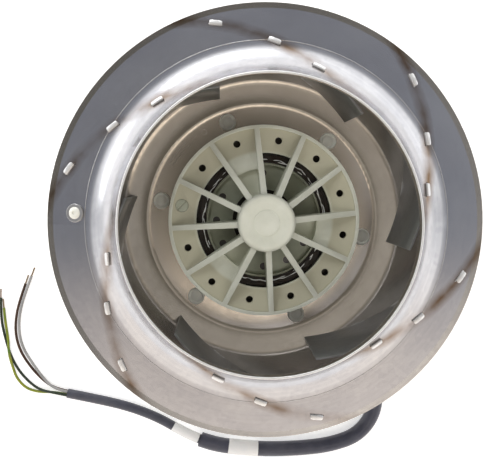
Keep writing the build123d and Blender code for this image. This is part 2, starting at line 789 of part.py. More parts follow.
with BuildPart() as cover_screws:
    with BuildSketch(Plane.XY.offset(cover_bottom)):
        with PolarLocations(cover_screw_circle, cover_screw_count, cover_screw_angle):
            Circle(cover_screw_head_radius)
    extrude(amount=-cover_screw_head_height)
    with BuildSketch(Plane.XY.offset(cover_bottom)):
        with PolarLocations(cover_screw_circle, cover_screw_count, cover_screw_angle):
            Circle(cover_screw_radius)
    extrude(amount=cover_screw_length)
finish(cover_screws.part, "cover_screws")

# Cable gland: a rubber bush in the flange's side that tapers along the cable
with BuildPart() as cable_gland:
    with BuildSketch(gland_plane.offset(chamber_outer_radius)):
        Circle(gland_plug_radius)
    extrude(amount=flange_radius - chamber_outer_radius)
    with BuildSketch(gland_plane.offset(flange_radius + gland_fit)):
        Circle(gland_collar_radius)
    extrude(amount=gland_collar_width)
    with BuildSketch(gland_plane.offset(flange_radius)):
        Circle(gland_plug_radius)
    with BuildSketch(gland_plane.offset(flange_radius + gland_length)):
        Circle(gland_tip_radius)
    loft()
finish(cable_gland.part, "cable_gland")


def corner_radii(points):
    """Radius of the arc at each inner point: a share of its shorter run over the tangent of half the turn."""
    radii = []
    for before, corner, after in zip(points, points[1:], points[2:]):
        into = Vector(*corner) - Vector(*before)
        out = Vector(*after) - Vector(*corner)
        half_turn = radians(into.get_angle(out)) / 2.0
        radii.append(bend_share * min(into.length, out.length) / tan(half_turn))
    return radii


def tube(points, radii, outer, bore=0.0):
    """Round cord or sleeve along straight runs joined by tangent arcs."""
    with BuildPart() as swept:
        with BuildLine() as path:
            FilletPolyline(*points, radius=radii)
        with BuildSketch(Plane(origin=points[0], z_dir=Vector(*points[1]) - Vector(*points[0]))):
            Circle(outer / 2.0)
            if bore > 0.0:
                Circle(bore / 2.0, mode=Mode.SUBTRACT)
        sweep(path=path.wires()[0])
    return swept.part, path.wires()[0].length


def between(start, end, share):
    """Point at a share of the way from one point to another."""
    return tuple(a + (b - a) * share for a, b in zip(start, end))


def cord(name, points, radii, outer, bore=0.0):
    """Make one tube, write it, and print its radii, its length and its volume over section times length."""
    part, length = tube(points, radii, outer, bore)
    section = pi * (outer**2 - bore**2) / 4.0
    print(name, "length", round(length, 1), "volume share", round(part.volume / (section * length), 4))
    print(name, "radii", [round(value, 1) for value in radii])
    finish(part, name)


# Route of the cable from the gland over the floor, chosen point by point
gland_tip = (*polar(flange_radius + gland_length, gland_angle), gland_height)
cable_route = [
    gland_tip,
    (*polar(flange_radius + gland_length + gland_run, gland_angle), gland_height),
    (76.5, -101.5, 7.4),
    (86.0, -124.0, 6.6),
    (86.2, -147.0, 6.1),
    (73.5, -165.0, 5.9),
    (52.0, -172.2, 5.9),
    (30.0, -174.4, 5.9),
    (8.0, -174.9, 5.9),
    (-14.0, -173.6, 5.9),
    (-36.0, -170.4, 5.9),
    (-56.0, -162.3, 5.8),
    (-76.0, -150.6, 4.0),
    (-97.6, -141.9, 3.5),
    (-121.0, -135.9, 3.5),
    (-144.4, -130.9, 3.5),
]
cable_radii = corner_radii(cable_route)
cord("cable", cable_route, cable_radii, cable_diameter)

# Sleeve: an open tube over the cable, from under the impeller to its loose end
sleeve_start = between(cable_route[2], cable_route[3], 0.5)
sleeve_end = between(cable_route[10], cable_route[11], sleeve_end_share)
sleeve_route = [sleeve_start, *cable_route[3:11], sleeve_end]
cord("cable_sleeve", sleeve_route, cable_radii[2:10], sleeve_diameter, sleeve_bore)

# Labels: blank wraps, one on the sleeve and one on the cable beside the sleeve's end
def label(name, points, start_share, radius, carrier):
    """Wrap round the corner of three points of the route, from a share of its first run to half its second."""
    start = between(points[0], points[1], start_share)
    end = between(points[1], points[2], 0.5)
    bore = carrier + 2.0 * label_gap
    cord(name, [start, points[1], end], [radius], bore + 2.0 * label_thickness, bore)


label("sleeve_label", cable_route[8:11], 0.5, cable_radii[8], sleeve_diameter)
label("cable_label", cable_route[10:13], cable_label_share, cable_radii[10], cable_diameter)

# Leads: four cores that fan out of the cable's end over the floor
cable_end = Vector(*cable_route[-1])
cable_heading = (cable_end - Vector(*cable_route[-2])).normalized()
cable_side = Vector(-cable_heading.Y, cable_heading.X, 0)
lead_floor = lead_diameter / 2.0 + lead_clearance
lead_corners = {
    "lead_1": (1.0, 1.0, [
        (-165.0, -128.2, 3.0), (-173.5, -122.6, lead_floor), (-181.5, -113.0, lead_floor),
        (-187.0, -101.5, lead_floor), (-190.6, -88.0, lead_floor), (-193.3, -73.5, lead_floor),
        (-192.9, -59.0, lead_floor),
    ]),
    "lead_2": (1.0, -1.0, [
        (-165.6, -130.4, lead_floor), (-175.6, -127.6, lead_floor), (-182.6, -119.6, lead_floor),
        (-185.0, -111.0, 1.6), (-186.4, -104.5, 3.5), (-187.4, -98.0, 3.5), (-188.0, -89.5, 1.6),
        (-190.0, -77.5, lead_floor), (-190.8, -66.5, lead_floor),
    ]),
    "lead_3": (-1.0, 1.0, [
        (-163.0, -118.5, 3.3), (-171.5, -107.0, lead_floor), (-177.6, -96.5, lead_floor),
        (-180.2, -84.0, lead_floor), (-179.2, -70.5, lead_floor), (-175.5, -57.5, lead_floor),
        (-169.9, -43.0, lead_floor),
    ]),
    "lead_4": (-1.0, -1.0, [
        (-163.6, -120.9, lead_floor), (-173.0, -109.9, lead_floor), (-180.0, -98.0, lead_floor),
        (-182.9, -84.5, lead_floor), (-181.6, -70.6, lead_floor), (-178.0, -58.5, lead_floor),
        (-174.4, -48.5, lead_floor),
    ]),
}
lead_ends = []
for lead_name, (side, height, corners) in lead_corners.items():
    lead_start = cable_end + cable_side * (side * lead_offset) + Vector(0, 0, height * lead_offset)
    first_corner = lead_start + cable_heading * lead_first_run
    lead_route = [tuple(lead_start), tuple(first_corner), *corners]
    cord(lead_name, lead_route, corner_radii(lead_route), lead_diameter)
    lead_ends.append((lead_route[-2], lead_route[-1]))

# Bare stranded tips at the ends of the leads
with BuildPart() as lead_tips:
    for before, end in lead_ends:
        with BuildSketch(Plane(origin=end, z_dir=Vector(*end) - Vector(*before))):
            Circle(lead_tip_diameter / 2.0)
        extrude(amount=lead_tip_length)
finish(lead_tips.part, "lead_tips")
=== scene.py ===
"""Cooling fan: a sheet-metal impeller on an external-rotor motor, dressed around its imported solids.

Everything is in metres, in the frame of the solids: +Z up along the rotor axis, origin on the mounting face.
"""

from __future__ import annotations

import json
import logging
import math
from collections.abc import Callable, Sequence
from dataclasses import dataclass, field
from enum import Enum

import bmesh
import bpy
from mathutils import Matrix, Vector, noise

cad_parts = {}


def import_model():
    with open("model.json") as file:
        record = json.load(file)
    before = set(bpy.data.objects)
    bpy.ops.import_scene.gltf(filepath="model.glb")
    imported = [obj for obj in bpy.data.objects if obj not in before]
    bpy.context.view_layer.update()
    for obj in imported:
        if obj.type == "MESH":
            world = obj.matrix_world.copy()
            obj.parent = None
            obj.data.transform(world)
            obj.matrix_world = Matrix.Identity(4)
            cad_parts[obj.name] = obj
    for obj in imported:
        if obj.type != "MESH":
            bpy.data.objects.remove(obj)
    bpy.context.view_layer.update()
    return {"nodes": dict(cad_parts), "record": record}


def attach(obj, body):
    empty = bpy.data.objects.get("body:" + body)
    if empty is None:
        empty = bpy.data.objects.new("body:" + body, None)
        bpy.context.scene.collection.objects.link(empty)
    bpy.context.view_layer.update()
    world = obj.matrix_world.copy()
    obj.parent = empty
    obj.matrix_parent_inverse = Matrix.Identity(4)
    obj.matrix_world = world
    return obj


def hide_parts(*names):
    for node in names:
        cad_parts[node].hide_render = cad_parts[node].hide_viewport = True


LOG = logging.getLogger("cooling_fan")
MM = 0.001


class Body(str, Enum):
    """The two bodies of the fan."""

    STATOR = "stator"
    ROTOR = "rotor"


class Slot(str, Enum):
    """Material slots of the record."""

    SHEET = "galvanised_sheet"
    HOUSING = "housing_moulding"
    RIVET = "rivet_steel"
    ZINC = "zinc_steel"
    LAMINATION = "lamination_steel"
    CAST = "cast_aluminium"
    BRIGHT = "bright_steel"
    SPRING = "spring_steel"
    BEARING = "bearing_steel"
    WINDING = "winding"
    INSULATOR = "insulator_plastic"
    BLACK = "black_plastic"
    RUBBER = "black_rubber"
    JACKET = "cable_jacket"
    SLEEVE = "sleeve_plastic"
    PAPER = "label_paper"
    LEAD_GREEN = "lead_dark_green"
    LEAD_EARTH = "lead_yellow_green"
    LEAD_GREY = "lead_grey"
    LEAD_BROWN = "lead_brown"
    COPPER = "tinned_copper"


def tint(red: float, green: float, blue: float) -> tuple[float, float, float, float]:
    """A colour as it is seen on a screen, turned into the linear values that shaders take.

    Args:
        red: Red on a screen, from 0 to 1.
        green: Green on a screen, from 0 to 1.
        blue: Blue on a screen, from 0 to 1.

    Returns:
        Linear red, green and blue, and full opacity.
    """
    linear = [c / 12.92 if c <= 0.04045 else ((c + 0.055) / 1.055) ** 2.4 for c in (red, green, blue)]
    return (linear[0], linear[1], linear[2], 1.0)


def polar(radius: float, angle: float, height: float = 0.0) -> Vector:
    """Point at a radius, an angle in degrees and a height, all in the fan's frame."""
    return Vector((radius * math.cos(math.radians(angle)), radius * math.sin(math.radians(angle)), height))


class Wiring:
    """A node tree being wired."""

    def __init__(self, tree: bpy.types.NodeTree) -> None:
        """Keep the tree."""
        self.tree = tree

    def add(self, kind: str, inputs: dict | None = None, **settings: object) -> bpy.types.Node:
        """Add a node.

        Args:
            kind: The node's type.
            inputs: Value or incoming socket for each input, by name or number.
            settings: Properties of the node itself.

        Returns:
            The new node.
        """
        node = self.tree.nodes.new(kind)
        for name, value in settings.items():
            setattr(node, name, value)
        for key, value in (inputs or {}).items():
            if isinstance(value, bpy.types.NodeSocket):
                self.tree.links.new(value, node.inputs[key])
            else:
                node.inputs[key].default_value = value
        return node

    def math(self, operation: str, *values: object, clamp: bool = False) -> bpy.types.NodeSocket:
        """Result of a Math node over values or sockets."""
        node = self.add("ShaderNodeMath", dict(enumerate(values)), operation=operation, use_clamp=clamp)
        return node.outputs[0]

    def blend(self, share: object, first: object, second: object) -> bpy.types.NodeSocket:
        """Colour between two colours by a share."""
        node = self.add("ShaderNodeMix", {0: share, 6: first, 7: second}, data_type="RGBA")
        return node.outputs[2]

    def span(self, value: object, low: float, high: float, start: float, end: float) -> bpy.types.NodeSocket:
        """A value's place between low and high, laid out from start to end and held there."""
        inputs = {0: value, 1: low, 2: high, 3: start, 4: end}
        return self.add("ShaderNodeMapRange", inputs, clamp=True).outputs[0]

    def noise(self, where: object, scale: float, detail: float = 3.0) -> bpy.types.NodeSocket:
        """Soft noise at a place."""
        node = self.add("ShaderNodeTexNoise", {"Vector": where, "Scale": scale, "Detail": detail})
        return node.outputs[0]

    def join(self, output: bpy.types.NodeSocket, target: bpy.types.NodeSocket) -> None:
        """Link an output to an input."""
        self.tree.links.new(output, target)


@dataclass(frozen=True)
class BladeForm:
    """The arc that a blade follows, seen along the rotor axis."""

    count = 6
    arc_radius = 0.140
    inlet_radius: float = 0.0886
    inlet_angle: float = 49.2
    outlet_radius: float = 0.136
    outlet_angle: float = 112.6

    def ends(self, blade: int) -> tuple[Vector, Vector]:
        """Inner and outer end of a blade's arc."""
        turn = -blade * 360.0 / self.count
        return polar(self.inlet_radius, self.inlet_angle + turn), polar(self.outlet_radius, self.outlet_angle + turn)

    def arc_centre(self, blade: int) -> Vector:
        """Centre of a blade's arc."""
        start, end = self.ends(blade)
        chord = end - start
        depth = math.sqrt(self.arc_radius**2 - (chord.length / 2.0) ** 2)
        return (start + end) / 2.0 + Vector((-chord.y, chord.x, 0.0)).normalized() * depth

    def middle_angle(self, blade: int) -> float:
        """Angle at which the middle of a blade stands."""
        return (self.inlet_angle + self.outlet_angle) / 2.0 - blade * 360.0 / self.count

    def point(self, share: float) -> Vector:
        """Point of the first blade's arc at a share of its turn."""
        start, end = self.ends(0)
        centre = self.arc_centre(0)
        first = math.atan2(start.y - centre.y, start.x - centre.x)
        last = math.atan2(end.y - centre.y, end.x - centre.x)
        turn = first + (last - first) * share
        return centre + Vector((math.cos(turn), math.sin(turn), 0.0)) * self.arc_radius

    def share_at(self, radius: float) -> float:
        """Share of the first blade's turn at which its arc crosses a radius."""
        low, high = 0.0, 1.0
        for _ in range(40):
            middle = (low + high) / 2.0
            if self.point(middle).length < radius:
                low = middle
            else:
                high = middle
        return low


@dataclass(frozen=True)
class ShroudForm:
    """Section of the shroud's upper face: lip, cone, flare and collar."""

    impeller_radius: float = 0.138
    height: float = 0.135
    inlet_radius: float = 0.090
    collar: float = 0.003
    flare_share: float = 0.708
    slope_degrees: float = 18.0
    sheet: float = 0.0012

    @property
    def slope(self) -> float:
        """Slope of the cone in radians."""
        return math.radians(self.slope_degrees)

    @property
    def flare_radius(self) -> float:
        """Radius of the flare's arc."""
        return self.flare_share * (self.impeller_radius - self.inlet_radius)

    @property
    def flare_start(self) -> tuple[float, float]:
        """Radius and height at which the cone turns into the flare."""
        return (
            self.inlet_radius + self.flare_radius * (1.0 - math.sin(self.slope)),
            self.height - self.collar - self.flare_radius * math.cos(self.slope),
        )

    def tilt_at(self, radius: float) -> float:
        """Slope of the upper face at a radius, in radians."""
        if radius >= self.flare_start[0]:
            return self.slope
        return math.asin((self.inlet_radius + self.flare_radius - radius) / self.flare_radius)

    def height_at(self, radius: float, depth: float = 0.0) -> float:
        """Height of the face at a depth below the upper one, at a radius."""
        start_radius, start_height = self.flare_start
        if radius >= start_radius:
            return start_height - (radius - start_radius) * math.tan(self.slope) - depth / math.cos(self.slope)
        reach = self.flare_radius + depth
        across = self.inlet_radius + self.flare_radius - radius
        return self.height - self.collar - math.sqrt(max(reach**2 - across**2, 0.0))

    def place(self, radius: float, angle: float) -> tuple[Vector, Vector]:
        """Point on the upper face and the way that it faces, at a radius and an angle in degrees."""
        tilt = self.tilt_at(radius)
        out = polar(math.sin(tilt), angle)
        return polar(radius, angle, self.height_at(radius)), Vector((out.x, out.y, math.cos(tilt)))


class GroupKit:
    """The shader node groups that the finishes share, each built once."""

    def __init__(self) -> None:
        """Build all the groups."""
        self.press_marks = self._press_marks()
        self.spangle = self._spangle()
        self.edge_wear_and_highlight = self._edge_wear()
        self.dust = self._dust()
        self.fine_grain = self._fine_grain()
        self.blade_lines = self._blade_lines()

    @staticmethod
    def _start(name: str, inputs: dict[str, float], outputs: Sequence[str]) -> tuple[Wiring, bpy.types.Node, bpy.types.Node]:
        """Open a group with float inputs and float outputs.

        Args:
            name: Name of the group.
            inputs: Name and usual value of each input.
            outputs: Name of each output.

        Returns:
            The group's wiring, its input node and its output node.
        """
        group = bpy.data.node_groups.new(name, "ShaderNodeTree")
        for label, usual in inputs.items():
            group.interface.new_socket(label, in_out="INPUT", socket_type="NodeSocketFloat").default_value = usual
        for label in outputs:
            group.interface.new_socket(label, in_out="OUTPUT", socket_type="NodeSocketFloat")
        wiring = Wiring(group)
        return wiring, wiring.add("NodeGroupInput"), wiring.add("NodeGroupOutput")

    def _press_marks(self) -> bpy.types.NodeTree:
        """Rings and short streaks that pressing and spinning leave on round sheet metal."""
        wiring, given, out = self._start(
            "press marks", {"Ring Scale": 900.0, "Streak Scale": 55.0}, ("Rings", "Streaks")
        )
        where = wiring.add("ShaderNodeTexCoord").outputs["Object"]
        parts = wiring.add("ShaderNodeSeparateXYZ", {0: where})
        flat = wiring.add("ShaderNodeCombineXYZ", {0: parts.outputs[0], 1: parts.outputs[1]}).outputs[0]
        radius = wiring.add("ShaderNodeVectorMath", {0: flat}, operation="LENGTH").outputs["Value"]
        along = wiring.math("MULTIPLY", wiring.math("ADD", radius, parts.outputs[2]), given.outputs["Ring Scale"])
        rings = wiring.add("ShaderNodeTexNoise", {"W": along, "Scale": 1.0, "Detail": 2.0}, noise_dimensions="1D")
        turn = wiring.math("ARCTAN2", parts.outputs[1], parts.outputs[0])
        spot = wiring.add("ShaderNodeCombineXYZ", {0: wiring.math("MULTIPLY", radius, 18.0), 1: turn}).outputs[0]
        streaks = wiring.add("ShaderNodeTexNoise", {"Vector": spot, "Detail": 4.0})
        wiring.join(given.outputs["Streak Scale"], streaks.inputs["Scale"])
        wiring.join(rings.outputs[0], out.inputs["Rings"])
        wiring.join(streaks.outputs[0], out.inputs["Streaks"])
        return wiring.tree

    def _spangle(self) -> bpy.types.NodeTree:
        """Soft crystals of a zinc coat."""
        wiring, given, out = self._start("zinc spangle", {"Scale": 320.0}, ("Spangle",))
        where = wiring.add("ShaderNodeTexCoord").outputs["Object"]
        cells = wiring.add("ShaderNodeTexVoronoi", {"Vector": where}, feature="F1")
        wiring.join(given.outputs["Scale"], cells.inputs["Scale"])
        grey = wiring.add("ShaderNodeSeparateColor", {0: cells.outputs["Color"]}).outputs[0]
        wiring.join(grey, out.inputs["Spangle"])
        return wiring.tree

    def _edge_wear(self) -> bpy.types.NodeTree:
        """Edges for rubbed wear, and for the insulator's painted highlight: where the surface turns within a small
        radius, broken up by noise.
        """
        wiring, given, out = self._start("edge wear and highlight", {"Radius": 0.0006, "Breakup": 260.0}, ("Edge",))
        where = wiring.add("ShaderNodeTexCoord").outputs["Object"]
        rounded = wiring.add("ShaderNodeBevel", samples=4)
        wiring.join(given.outputs["Radius"], rounded.inputs["Radius"])
        flat = wiring.add("ShaderNodeNewGeometry").outputs["Normal"]
        turn = wiring.add("ShaderNodeVectorMath", {0: rounded.outputs[0], 1: flat}, operation="DOT_PRODUCT")
        edge = wiring.span(turn.outputs["Value"], 0.995, 0.90, 0.0, 1.0)
        patches = wiring.add("ShaderNodeTexNoise", {"Vector": where, "Detail": 3.0})
        wiring.join(given.outputs["Breakup"], patches.inputs["Scale"])
        broken = wiring.span(patches.outputs[0], 0.35, 0.6, 0.25, 1.0)
        wiring.join(wiring.math("MULTIPLY", edge, broken), out.inputs["Edge"])
        return wiring.tree

    def _dust(self) -> bpy.types.NodeTree:
        """Thin dust that settles on what faces up."""
        wiring, given, out = self._start("settled dust", {"Scale": 60.0, "Cover": 0.3}, ("Dust",))
        where = wiring.add("ShaderNodeTexCoord").outputs["Object"]
        facing = wiring.add("ShaderNodeSeparateXYZ", {0: wiring.add("ShaderNodeNewGeometry").outputs["Normal"]})
        upward = wiring.span(facing.outputs[2], 0.2, 0.95, 0.0, 1.0)
        clouds = wiring.add("ShaderNodeTexNoise", {"Vector": where, "Detail": 5.0})
        wiring.join(given.outputs["Scale"], clouds.inputs["Scale"])
        patchy = wiring.math("MULTIPLY", upward, wiring.span(clouds.outputs[0], 0.35, 0.7, 0.2, 1.0))
        wiring.join(wiring.math("MULTIPLY", patchy, given.outputs["Cover"]), out.inputs["Dust"])
        return wiring.tree

    def _fine_grain(self) -> bpy.types.NodeTree:
        """Fine tooth of a moulded or cast surface, with a slow mottle under it."""
        wiring, given, out = self._start("fine grain", {"Scale": 2600.0, "Mottle": 70.0}, ("Grain", "Mottle"))
        where = wiring.add("ShaderNodeTexCoord").outputs["Object"]
        tooth = wiring.add("ShaderNodeTexNoise", {"Vector": where, "Detail": 2.0})
        wiring.join(given.outputs["Scale"], tooth.inputs["Scale"])
        slow = wiring.add("ShaderNodeTexNoise", {"Vector": where, "Detail": 4.0})
        wiring.join(given.outputs["Mottle"], slow.inputs["Scale"])
        wiring.join(tooth.outputs[0], out.inputs["Grain"])
        wiring.join(slow.outputs[0], out.inputs["Mottle"])
        return wiring.tree


    def _blade_lines(self) -> bpy.types.NodeTree:
        """Narrow bands that follow the blades' arcs over the front of the shroud."""
        wiring, given, out = self._start("blade lines", {"Width": 0.0055, "Breakup": 45.0}, ("Band",))
        where = wiring.add("ShaderNodeTexCoord").outputs["Object"]
        parts = wiring.add("ShaderNodeSeparateXYZ", {0: where})
        flat = wiring.add("ShaderNodeCombineXYZ", {0: parts.outputs[0], 1: parts.outputs[1]}).outputs[0]
        wave = wiring.math("MULTIPLY_ADD", wiring.noise(flat, 38.0), 0.004, -0.002)
        nearest = None
        for blade in range(BladeForm.count):
            centre = BladeForm().arc_centre(blade)
            reach = wiring.add("ShaderNodeVectorMath", {0: flat, 1: tuple(centre)}, operation="DISTANCE")
            off = wiring.math("SUBTRACT", reach.outputs["Value"], BladeForm.arc_radius + 0.001)
            away = wiring.math("ABSOLUTE", wiring.math("ADD", off, wave))
            turn = wiring.add("ShaderNodeVectorMath", {0: flat, 1: tuple(polar(1.0, BladeForm().middle_angle(blade)))},
                              operation="DOT_PRODUCT").outputs["Value"]
            far_side = wiring.span(turn, 0.045, 0.055, 1.0, 0.0)
            away = wiring.math("ADD", away, far_side)
            nearest = away if nearest is None else wiring.math("MINIMUM", nearest, away)
        line_band = wiring.math("SUBTRACT", 1.0, wiring.math("DIVIDE", nearest, given.outputs["Width"]), clamp=True)
        patches = wiring.add("ShaderNodeTexNoise", {"Vector": where, "Detail": 3.0})
        wiring.join(given.outputs["Breakup"], patches.inputs["Scale"])
        broken = wiring.span(patches.outputs[0], 0.35, 0.65, 0.25, 1.0)
        wiring.join(wiring.math("MULTIPLY", line_band, broken), out.inputs["Band"])
        return wiring.tree


@dataclass(frozen=True)
class Finish:
    """How a surface looks: its two tones, gloss and small relief."""

    slot: Slot
    base: tuple[float, float, float]
    shade: tuple[float, float, float]
    metallic: float = 0.0
    roughness: float = 0.5
    roughness_spread: float = 0.1
    grain_scale: float = 2600.0
    grain_depth: float = 0.00002
    mottle_scale: float = 70.0
    dust_cover: float = 0.1
    dust_colour: tuple[float, float, float] = (0.72, 0.69, 0.64)
    coat: float = 0.0

    def _group(self, wiring: Wiring, group: bpy.types.NodeTree, **values: float) -> bpy.types.Node:
        """Place a shared group with its own values."""
        node = wiring.add("ShaderNodeGroup", node_tree=group)
        for name, value in values.items():
            node.inputs[name.replace("_", " ")].default_value = value
        return node

    def surface(self, wiring: Wiring, groups: GroupKit) -> tuple[object, object, object]:
        """Colour, roughness and relief of the surface.

        Args:
            wiring: The material's wiring.
            groups: The shared groups.

        Returns:
            Sockets of colour, roughness and height.
        """
        grain = self._group(wiring, groups.fine_grain, Scale=self.grain_scale, Mottle=self.mottle_scale)
        dust = self._group(wiring, groups.dust, Cover=self.dust_cover)
        share = wiring.span(grain.outputs["Mottle"], 0.3, 0.7, 0.0, 1.0)
        colour = wiring.blend(share, tint(*self.base), tint(*self.shade))
        dusty = wiring.blend(dust.outputs["Dust"], colour, tint(*self.dust_colour))
        rough = wiring.span(
            grain.outputs["Mottle"], 0.3, 0.7, self.roughness - self.roughness_spread, self.roughness + self.roughness_spread
        )
        return dusty, rough, grain.outputs["Grain"]

    def build(self, groups: GroupKit) -> bpy.types.Material:
        """Make the material."""
        material = bpy.data.materials.new(self.slot.value)
        material.use_nodes = True
        wiring = Wiring(material.node_tree)
        shader = material.node_tree.nodes["Principled BSDF"]
        colour, rough, height = self.surface(wiring, groups)
        bump = wiring.add("ShaderNodeBump", {"Height": height, "Distance": self.grain_depth, "Strength": 1.0})
        shader.inputs["Metallic"].default_value = self.metallic
        shader.inputs["Coat Weight"].default_value = self.coat
        wiring.join(colour, shader.inputs["Base Color"])
        wiring.join(rough, shader.inputs["Roughness"])
        wiring.join(bump.outputs[0], shader.inputs["Normal"])
        return material


@dataclass(frozen=True)
class SheetFinish(Finish):
    """Zinc-coated sheet: rings and streaks from pressing, soft spangle, rubbed edges."""

    ring_scale: float = 900.0
    streak_scale: float = 3.0
    edge_colour: tuple[float, float, float] = (0.86, 0.86, 0.85)

    def surface(self, wiring: Wiring, groups: GroupKit) -> tuple[object, object, object]:
        """Colour, roughness and relief of the surface."""
        marks = self._group(wiring, groups.press_marks, Ring_Scale=self.ring_scale, Streak_Scale=self.streak_scale)
        zinc = self._group(wiring, groups.spangle)
        grain = self._group(wiring, groups.fine_grain, Scale=self.grain_scale, Mottle=self.mottle_scale)
        dust = self._group(wiring, groups.dust, Cover=self.dust_cover)
        wear = self._group(wiring, groups.edge_wear_and_highlight)
        tone = wiring.math("MULTIPLY", marks.outputs["Streaks"], 0.55)
        tone = wiring.math("MULTIPLY_ADD", zinc.outputs["Spangle"], 0.12, tone)
        tone = wiring.math("MULTIPLY_ADD", marks.outputs["Rings"], 0.2, tone)
        tone = wiring.span(tone, 0.25, 0.65, 0.0, 1.0)
        colour = wiring.blend(tone, tint(*self.base), tint(*self.shade))
        colour = wiring.blend(wear.outputs["Edge"], colour, tint(*self.edge_colour))
        colour = wiring.blend(dust.outputs["Dust"], colour, tint(*self.dust_colour))
        rough = wiring.math("MULTIPLY_ADD", marks.outputs["Rings"], self.roughness_spread, self.roughness)
        rough = wiring.math("MULTIPLY_ADD", zinc.outputs["Spangle"], self.roughness_spread * 0.5, rough)
        height = wiring.math("MULTIPLY_ADD", marks.outputs["Rings"], 0.6, grain.outputs["Grain"])
        return colour, rough, height


@dataclass(frozen=True)
class ShroudFinish(SheetFinish):
    """The shroud's sheet, with brownish bands over the blades' lines."""

    band_colour: tuple[float, float, float] = (0.46, 0.35, 0.22)
    band_share: float = 0.95

    def surface(self, wiring: Wiring, groups: GroupKit) -> tuple[object, object, object]:
        """Colour, roughness and relief of the surface."""
        colour, rough, height = super().surface(wiring, groups)
        lines = self._group(wiring, groups.blade_lines)
        share = wiring.math("MULTIPLY", lines.outputs["Band"], self.band_share)
        return wiring.blend(share, colour, tint(*self.band_colour)), rough, height


@dataclass(frozen=True)
class MouldedFinish(Finish):
    """A moulding or casting with a fine tooth and paler edges: rubbed wear, and on the insulator also a painted
    highlight along its rims.
    """

    edge_colour: tuple[float, float, float] = (0.85, 0.84, 0.80)
    edge_radius: float = 0.0007

    def surface(self, wiring: Wiring, groups: GroupKit) -> tuple[object, object, object]:
        """Colour, roughness and relief of the surface."""
        colour, rough, height = super().surface(wiring, groups)
        wear = self._group(wiring, groups.edge_wear_and_highlight, Radius=self.edge_radius)
        return wiring.blend(wear.outputs["Edge"], colour, tint(*self.edge_colour)), rough, height


@dataclass(frozen=True)
class HousingFinish(MouldedFinish):
    """The translucent moulding, with painted shade on its recessed face, so that it looks deeper in tone than its solid
    ribs and rim.
    """

    # Colour and share of the painted shade on the recessed face.
    shaded_face_colour: tuple[float, float, float] = (0.74, 0.72, 0.62)
    shaded_face_share: float = 0.75
    face_height: float = 0.0609
    face_inner: float = 0.0475

    def surface(self, wiring: Wiring, groups: GroupKit) -> tuple[object, object, object]:
        """Colour, roughness and relief of the surface."""
        colour, rough, height = super().surface(wiring, groups)
        place = wiring.add("ShaderNodeTexCoord").outputs["Object"]
        parts = wiring.add("ShaderNodeSeparateXYZ", {0: place})
        across = wiring.add("ShaderNodeCombineXYZ", {0: parts.outputs[0], 1: parts.outputs[1]})
        radius = wiring.add("ShaderNodeVectorMath", {0: across.outputs[0]}, operation="LENGTH").outputs["Value"]
        low = wiring.span(parts.outputs[2], self.face_height, self.face_height + 0.0012, 1.0, 0.0)
        outer = wiring.span(radius, self.face_inner - 0.003, self.face_inner, 0.0, 1.0)
        # Painted shade: the recessed face, at its own height and outside the boss, is blended towards a deeper tone.
        face_shade = wiring.math("MULTIPLY", wiring.math("MULTIPLY", low, outer), self.shaded_face_share)
        return wiring.blend(face_shade, colour, tint(*self.shaded_face_colour)), rough, height
